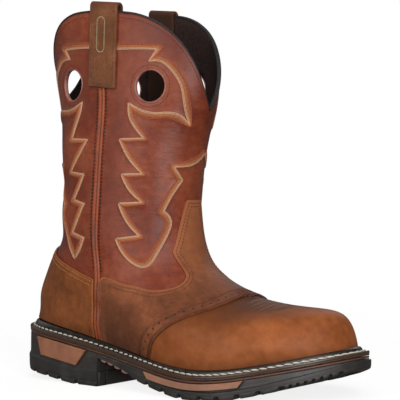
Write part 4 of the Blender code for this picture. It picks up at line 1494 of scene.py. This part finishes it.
# Underside: x, z, height of the lug band above it, height of the lugs
TREAD = [
    (-4, 6.4, 13, 3.2), (20, 5.6, 13, 3.2), (45, 3.6, 12.5, 3.2), (62, 1.4, 12, 3.2), (75, 0, 12, 3.2),
    (BREAST_X, 0, 12, 3.2), (BREAST_X + BREAST_STEP, 22.0, 1.5, 0), (118, 19.4, 2, 0), (135, 14.9, 3.2, 0),
    (142, 12.2, 3.8, 0), (146, 9.9, 4.2, 0), (150, 8.6, 4.6, 2.4), (156, 7.2, 5.2, 3.4), (165, 5.2, 5.8, 3.4),
    (178, 2.6, 6.2, 3.4), (189, 0.7, 6.2, 3.4), (197, 0, 6.2, 3.4), (223, 0, 6.2, 3.4), (238, 2.2, 6.2, 3.4),
    (258, 6.4, 6.2, 3.0), (269, 9.6, 6.2, 2.4), (281, 12.9, 6.2, 2.1), (297, 18.2, 6.2, 2.0),
    (314, 24, 6.2, 2.0),
]

# Side of the outsole: level, how far it stands out beyond the welt
SOLE_SIDE = [
    (0.0, -1.0), (0.02, -0.5), (0.08, -0.35), (0.5, -0.15), (0.86, 0.0), (0.93, 0.25), (1.0, 0.9),
    (1.05, 1.15), (1.15, 1.2), (1.6, 1.2), (1.92, 1.15), (2.0, 0.6),
]
SOLE_RINGS = 2 * len(SOLE_SIDE) + 2 * (SOLE_ACROSS - 1)
SOLE_GRID = (sum(SOLE_STATIONS) - 1, SOLE_RINGS)


def tread(x, column):
    """A column of the underside's table, along the foot."""
    rows = np.array(TREAD)
    return np.interp(x, rows[:, 0], rows[:, column])


def tread_low(x):
    return tread(x, 1)


def lug_high(x):
    return tread(x, 3)


def sole_top(x):
    return welt_top(x) - WELT_THICK - MIDSOLE_THICK - 2 * HAIR


def sole_side(x, level):
    """Height on the sole's side: 0 at its top, 1 at the step over the lug band, 2 at the gaps' floor."""
    top = sole_top(x)
    low = tread_low(x) + lug_high(x)
    step = np.clip(tread_low(x) + tread(x, 2), low + 0.3, top - 0.9)
    return np.where(level < 1, top + (step - top) * level, step + (low - step) * (level - 1))


def sole_stations(first, last):
    """Places along the sole, closer together at the heel's back and at the toe."""
    heel = 1 - np.cos(np.linspace(0, math.pi / 2, SOLE_STATIONS[0]))
    fore = np.sin(np.linspace(0, math.pi / 2, SOLE_STATIONS[1]))
    breast = BREAST_X + BREAST_STEP
    return np.concatenate([first + (BREAST_X - first) * heel, breast + (last - breast) * fore])


def sole_lines():
    """Outer and inner side lines of the outsole at each level of its side, from heel to toe."""
    outer, inner = [], []
    for level, out in SOLE_SIDE:
        halves = edge_halves(-out)
        x = sole_stations(halves[0][0, 0], halves[0][-1, 0])
        z = sole_side(x, level)
        for made, half in zip((outer, inner), halves):
            made.append(np.column_stack([x, np.interp(x, *half.T), z]))
    return outer, inner


def sole_form(s, t):
    """Down the outer side, across the floor, up the inner side and back across the top."""
    outer, inner = sole_lines()
    steps = np.linspace(0, 1, SOLE_ACROSS + 1)[1:-1, None, None]
    floor = list(outer[-1] + (inner[-1] - outer[-1]) * steps)
    roof = list(inner[0] + (outer[0] - inner[0]) * steps)
    rings = np.array(outer + floor + inner[::-1] + roof + outer[:1])
    return rings[np.rint(t * (len(rings) - 1)).astype(int), np.rint(s * (rings.shape[1] - 1)).astype(int)]


sole_rubber, sole_shader, sole_at = finish("sole_rubber", 0.5, Specular_IOR_Level=0.45)
dust = sole_at.noise(70, 5, 0.65)
dust.between(0.42, 0.9).mixed(*SOLE_BLACKS).into(sole_shader, "Base Color")
(0.34 + dust * 0.28).into(sole_shader, "Roughness")
(dust * 0.6 + sole_at.noise(1300, 3)).bump(0.22, 0.25).into(sole_shader, "Normal")
outsole_shape = faced_out(sheet(SOLE_GRID, sole_form))
outsole = piece("outsole_body", outsole_shape, sole_rubber, "black_rubber", "outsole")
outsole.data.set_sharp_from_angle(angle=SOLE_SHARP)

# Lugs. Rubber blocks moulded on the underside in one piece with the sole: a row round the edge, bars across
# the middle, fine teeth round the toe, and pads on the front of the heel.
LUG_DEEP_HEEL = 12.0
LUG_DEEP_FORE = 15.0
LUG_GAP = 2.2
LUG_SINK = 0.6
LUG_TALL = 3.6 + LUG_SINK
LUG_SOFT = 0.7
LUG_TAPER = 3.0
LUG_BATTER = 0.5
SOLE_OUT = 1.2
LUG_EDGES_HEEL = (10, 28, 45, 60, 79, 104.6)
LUG_EDGES_FORE = (148, 161, 178, 195, 213, 227, 242, 256, 270)
TEETH_FROM = 271.5
TEETH_TO = 300.0
TEETH_PITCH = 4.1
TEETH_GAP = 0.6
TEETH_DEEP = 8.0
TEETH_SOFT = 0.4
TEETH_TAPER = 2.2
TOE_TOOTH_X = TEETH_TO + 0.8
BAR_IN = 3.2
BAR_EDGES_HEEL = (16, 28, 45, 60, 79, 103)
BAR_EDGES_FORE = (155, 161, 178, 195, 213, 227, 242, 256)

# Pads on the front of the heel, with a slot between them: y from and to
BREAST_PADS = [(-42.0, -35.8), (-33.8, 33.0)]
PAD_LOW = 0.4
PAD_HIGH = 10.5
PAD_DEEP = 2.2
PAD_SINK = 0.6
PAD_SOFT = 0.4
EDGE_FINE = np.arange(4800) / 4800
EDGE_POINTS = edge(EDGE_FINE, 0)


def round_of_x(x, side):
    """The way round the edge at which it reaches x, on the outer (-1) or inner (1) side."""
    toe = EDGE_POINTS[:, 0].argmax()
    half = slice(0, toe) if side < 0 else slice(toe, len(EDGE_POINTS))
    order = np.argsort(EDGE_POINTS[half, 0])
    return np.interp(x, EDGE_POINTS[half, 0][order], EDGE_FINE[half][order])


def block(whole, size, soft, form):
    """Adds a block with softened edges to a group, laid by a form from the unit cube to the sole."""
    one = bmesh.new()
    bmesh.ops.create_cube(one, size=1, matrix=Matrix.Diagonal((*size, 1)))
    bmesh.ops.bevel(
        one, geom=one.edges[:], offset=soft, segments=2, profile=0.5, affect="EDGES", material=-1,
        clamp_overlap=True,
    )
    long = [e for e in one.edges if abs(e.verts[0].co.x - e.verts[1].co.x) > 0.6 * (size[0] - 2 * soft)]
    bmesh.ops.subdivide_edges(one, edges=long, cuts=max(1, int(size[0] / 4)), use_grid_fill=True)
    move_to(one, form(*(corners(one) / size + 0.5).T))
    bmesh.ops.dissolve_degenerate(one, dist=MERGE, edges=one.edges)
    join(whole, one)


def lug_z(x, c):
    """Height at a share of a lug, from the floor up into the sole."""
    return tread_low(x) + (lug_high(x) + LUG_SINK) * c


def edge_lug(start, end, deep, soft=LUG_SOFT, taper=LUG_TAPER):
    """A lug along the edge between two ways round, shorter at its foot."""
    long = lengths(edge(np.linspace(start, end, 20), 0))[-1]

    def form(a, b, c):
        u = start + (end - start) * (0.5 + (a - 0.5) * (1 - taper / long * (1 - c)))
        at = edge(u, -SOLE_OUT + deep * b + LUG_BATTER * (1 - c) * (b < 0.2))
        return np.column_stack([at, lug_z(at[:, 0], c)])

    block(lugs, (long, deep, LUG_TALL), soft, form)


def bar_lug(start, end, inset):
    """A bar across the sole between two places along it."""
    halves = edge_halves(inset)

    def form(a, b, c):
        x = start + (end - start) * b
        return np.column_stack([x, across_sole(x, a, halves), lug_z(x, c)])

    middle = (start + end) / 2
    wide = across_sole(middle, 1, halves) - across_sole(middle, 0, halves)
    block(lugs, (wide, end - start, LUG_TALL), LUG_SOFT, form)


lugs = bmesh.new()
for side in (-1, 1):
    for edges, deep in ((LUG_EDGES_HEEL, LUG_DEEP_HEEL), (LUG_EDGES_FORE, LUG_DEEP_FORE)):
        for near_x, far_x in zip(edges[:-1], edges[1:]):
            ends = round_of_x(near_x + LUG_GAP / 2, side), round_of_x(far_x - LUG_GAP / 2, side)
            edge_lug(min(ends), max(ends), deep)
    for x in np.arange(TEETH_FROM, TEETH_TO, TEETH_PITCH):
        ends = round_of_x(x, side), round_of_x(x + TEETH_PITCH - TEETH_GAP, side)
        edge_lug(min(ends), max(ends), TEETH_DEEP, TEETH_SOFT, TEETH_TAPER)
back_outer, back_inner = [round_of_x(LUG_EDGES_HEEL[0] - LUG_GAP / 2, side) for side in (-1, 1)]
edge_lug(-(1 - back_inner), back_outer, LUG_DEEP_HEEL)
edge_lug(round_of_x(TOE_TOOTH_X, -1), round_of_x(TOE_TOOTH_X, 1), TEETH_DEEP)
for edges, deep in ((BAR_EDGES_HEEL, LUG_DEEP_HEEL), (BAR_EDGES_FORE, LUG_DEEP_FORE)):
    for near_x, far_x in zip(edges[:-1], edges[1:]):
        bar_lug(near_x + LUG_GAP / 2, far_x - LUG_GAP / 2, deep + BAR_IN)
for near_y, far_y in BREAST_PADS:

    def pad_form(a, b, c):
        x = BREAST_X - PAD_SINK + PAD_DEEP * b
        return np.column_stack([x, near_y + (far_y - near_y) * a, PAD_LOW + PAD_HIGH * c])

    block(lugs, (far_y - near_y, PAD_DEEP, PAD_HIGH), PAD_SOFT, pad_form)
lug_piece = piece("lugs", lugs, sole_rubber, "black_rubber", "outsole")
lug_piece.data.set_sharp_from_angle(angle=SOLE_SHARP)

# Waist ribs. Round bars of rubber, in a paler brown than the midsole's, moulded across the underside of the
# waist between the heel and the forefoot.
# Their brown is made paler to stand in for the light under the arch: painted light
RIB_LIT_BROWNS = ((0.26, 0.12, 0.09), (0.36, 0.18, 0.14))
RIB_GRID = (20, 16)
RIB_INSET = 0.6
RIB_DEEP = 2.1
RIB_SHARP = math.radians(50)

# Ribs: x of the middle, half-width along the foot
WAIST_RIBS = [(110.5, 3.9), (118.2, 3.9), (126.3, 4.3), (135.4, 4.8)]
rib_halves = edge_halves(RIB_INSET)
waist_ribs = bmesh.new()
for middle_x, half in WAIST_RIBS:

    def rib_form(s, t):
        x = middle_x + half * np.cos(2 * math.pi * t)
        z = tread_low(middle_x) + RIB_DEEP * np.sin(2 * math.pi * t)
        return np.column_stack([x, across_sole(x, s, rib_halves), z])

    rib = sheet(RIB_GRID, rib_form)
    close_ends(rib)
    join(waist_ribs, rib)
rib_rubber = flecked("rib_rubber", RIB_LIT_BROWNS, (300,), (0.3, 0.7), 0.45)
rib_piece = piece("waist_ribs", waist_ribs, rib_rubber, "brown_midsole", "outsole")
rib_piece.data.set_sharp_from_angle(angle=RIB_SHARP)

# Inlays. Tan rubber plates moulded into the sides of the sole: a tall slanted one on the heel and a long low
# one along the forefoot, on both sides.
INLAY_DROP = 0.05
INLAY_PROUD = 0.45
INLAY_DEEP = 2.0
INLAY_EDGE = 0.4

# Colours of each plate, dull and bright
INLAY_TANS = {
    "heel": ((0.210, 0.079, 0.038), (0.320, 0.124, 0.062)),
    "forefoot": ((0.235, 0.107, 0.061), (0.340, 0.160, 0.094)),
}

# Plates: x from and to along the top edge, then along the lower edge, height
INLAYS = {"heel": (34.5, 91.5, 39.5, 80, 13.8), "forefoot": (159, 247, 163, 243, 4.4)}
INLAY_GRIDS = {"heel": (60, 10), "forefoot": (90, 10)}


def inlay_form(kind, side):
    top_from, top_to, low_from, low_to, tall = INLAYS[kind]
    half = edge_halves(-INLAY_PROUD)[0 if side < 0 else 1]

    def form(s, t):
        top, low = top_from + (top_to - top_from) * s, low_from + (low_to - low_from) * s
        x = top + (low - top) * t
        z = (sole_top(top) - INLAY_DROP) * (1 - t) + (sole_top(low) - INLAY_DROP - tall) * t
        return np.column_stack([x, np.interp(x, *half.T), z])

    return form


for kind, tans in INLAY_TANS.items():
    tan_rubber, tan_shader, tan_at = finish(f"{kind}_tan_rubber", 0.62)
    bloom = tan_at.noise(60, 4, 0.6)
    bloom.between(0.3, 0.75).mixed(*tans).into(tan_shader, "Base Color")
    (bloom * 0.4 + tan_at.noise(1600, 2)).bump(0.2, 0.2).into(tan_shader, "Normal")
    for side, name in SIDES:
        inlay_shape = sheet(INLAY_GRIDS[kind], inlay_form(kind, side))
        inlay = piece(f"{kind}_inlay_{name}", inlay_shape, tan_rubber, "tan_rubber", f"{kind}_insert_{name}")
        thicken(inlay, INLAY_DEEP, side, INLAY_EDGE)

# Studio. A plain pale floor that fades out, soft square lights before, over and behind the boot in a white
# room, and the camera at the photograph's angle.
FLOOR_HALF = 0.75
FLOOR_FADE = (0.3, 0.72)
FLOOR_GREYS = ((0.24, 0.24, 0.24), (0.25, 0.25, 0.25))
FLOOR_GLOW = 0.84
WHITE = (1, 1, 1, 1)
ROOM_LIGHT = 0.14
LIGHT_AIM = Vector((0, 0, 0.12))
CAMERA_ROUND = math.radians(37.57)
CAMERA_PITCH = math.radians(0.08)
CAMERA_ROLL = math.radians(-0.8)
CAMERA_AWAY = 1.013
CAMERA_AIM = np.array([170.96, 0, 139.6])
CAMERA_SHIFT = 0.375
CAMERA_LENS = 121.65
CAMERA_SENSOR = 36

# Lights: degrees round from the front of the outer side, degrees up, distance and size in metres, power
LIGHTS = {
    "key": (50, 28, 1.6, 1.1, 14),
    "fill": (-8, 12, 1.6, 1.1, 12),
    "top": (20, 80, 1.5, 1.0, 3),
    "low": (50, -1, 1.4, 0.4, 8),
    "behind": (190, 38, 1.6, 1.0, 4.5),
    "heel": (270, 30, 1.6, 1.0, 1.6),
}
floor_shape = bmesh.new()
bmesh.ops.create_grid(floor_shape, x_segments=1, y_segments=1, size=FLOOR_HALF)
floor_mesh = bpy.data.meshes.new("floor")
floor_shape.to_mesh(floor_mesh)
floor_shape.free()
floor = bpy.data.objects.new("floor", floor_mesh)
bpy.context.scene.collection.objects.link(floor)
floor.visible_glossy = False
floor.visible_diffuse = False
paper, paper_shader, paper_at = finish(
    "floor_paper", 0.9, Specular_IOR_Level=0.0, Emission_Strength=FLOOR_GLOW, Emission_Color=WHITE
)
paper_at.noise(4).between(0.2, 0.8).mixed(*FLOOR_GREYS).into(paper_shader, "Base Color")
from_middle = paper_at.node("VectorMath", {"operation": "LENGTH"}, {0: paper_at}, "Value")
(1 - from_middle.between(*FLOOR_FADE)).into(paper_shader, "Alpha")
floor_mesh.materials.append(paper)


def direction(round_angle, up_angle):
    """Way from the boot to a light or the camera."""
    level = math.cos(up_angle)
    return np.array([math.sin(round_angle) * level, -math.cos(round_angle) * level, math.sin(up_angle)])


for name, (round_deg, up_deg, away, size, power) in LIGHTS.items():
    out = Vector(direction(math.radians(round_deg), math.radians(up_deg)))
    light = bpy.data.lights.new(name, "AREA")
    light.size = size
    light.energy = power
    softbox = bpy.data.objects.new(name, light)
    softbox.location = out * away + LIGHT_AIM
    softbox.rotation_euler = out.to_track_quat("Z", "Y").to_euler()
    bpy.context.scene.collection.objects.link(softbox)
world = bpy.data.worlds.new("studio")
bpy.context.scene.world = world
world.use_nodes = True
sky = world.node_tree.nodes["Background"]
ray = Wire(world.node_tree, None).node("LightPath", {}, {}, "Is Camera Ray")
(ROOM_LIGHT + ray * (1 - ROOM_LIGHT)).into(sky, "Strength")
sky.inputs["Color"].default_value = WHITE

right = np.array([math.cos(CAMERA_ROUND), math.sin(CAMERA_ROUND), 0])
back = direction(CAMERA_ROUND, CAMERA_PITCH)
up = np.cross(back, right)
rolled_right = right * math.cos(CAMERA_ROLL) + up * math.sin(CAMERA_ROLL)
rolled_up = up * math.cos(CAMERA_ROLL) - right * math.sin(CAMERA_ROLL)
aim = (CAMERA_AIM - MIDDLE + CAMERA_SHIFT * (rolled_up - rolled_right)) * MM
turned = Matrix(np.column_stack([rolled_right, rolled_up, back]).tolist()).to_4x4()
lens = bpy.data.cameras.new("camera")
lens.lens = CAMERA_LENS
lens.sensor_width = CAMERA_SENSOR
camera = bpy.data.objects.new("camera", lens)
camera.matrix_world = Matrix.Translation(Vector(aim + back * CAMERA_AWAY)) @ turned
bpy.context.scene.collection.objects.link(camera)
bpy.context.scene.camera = camera
bpy.context.scene.view_settings.view_transform = "Standard"
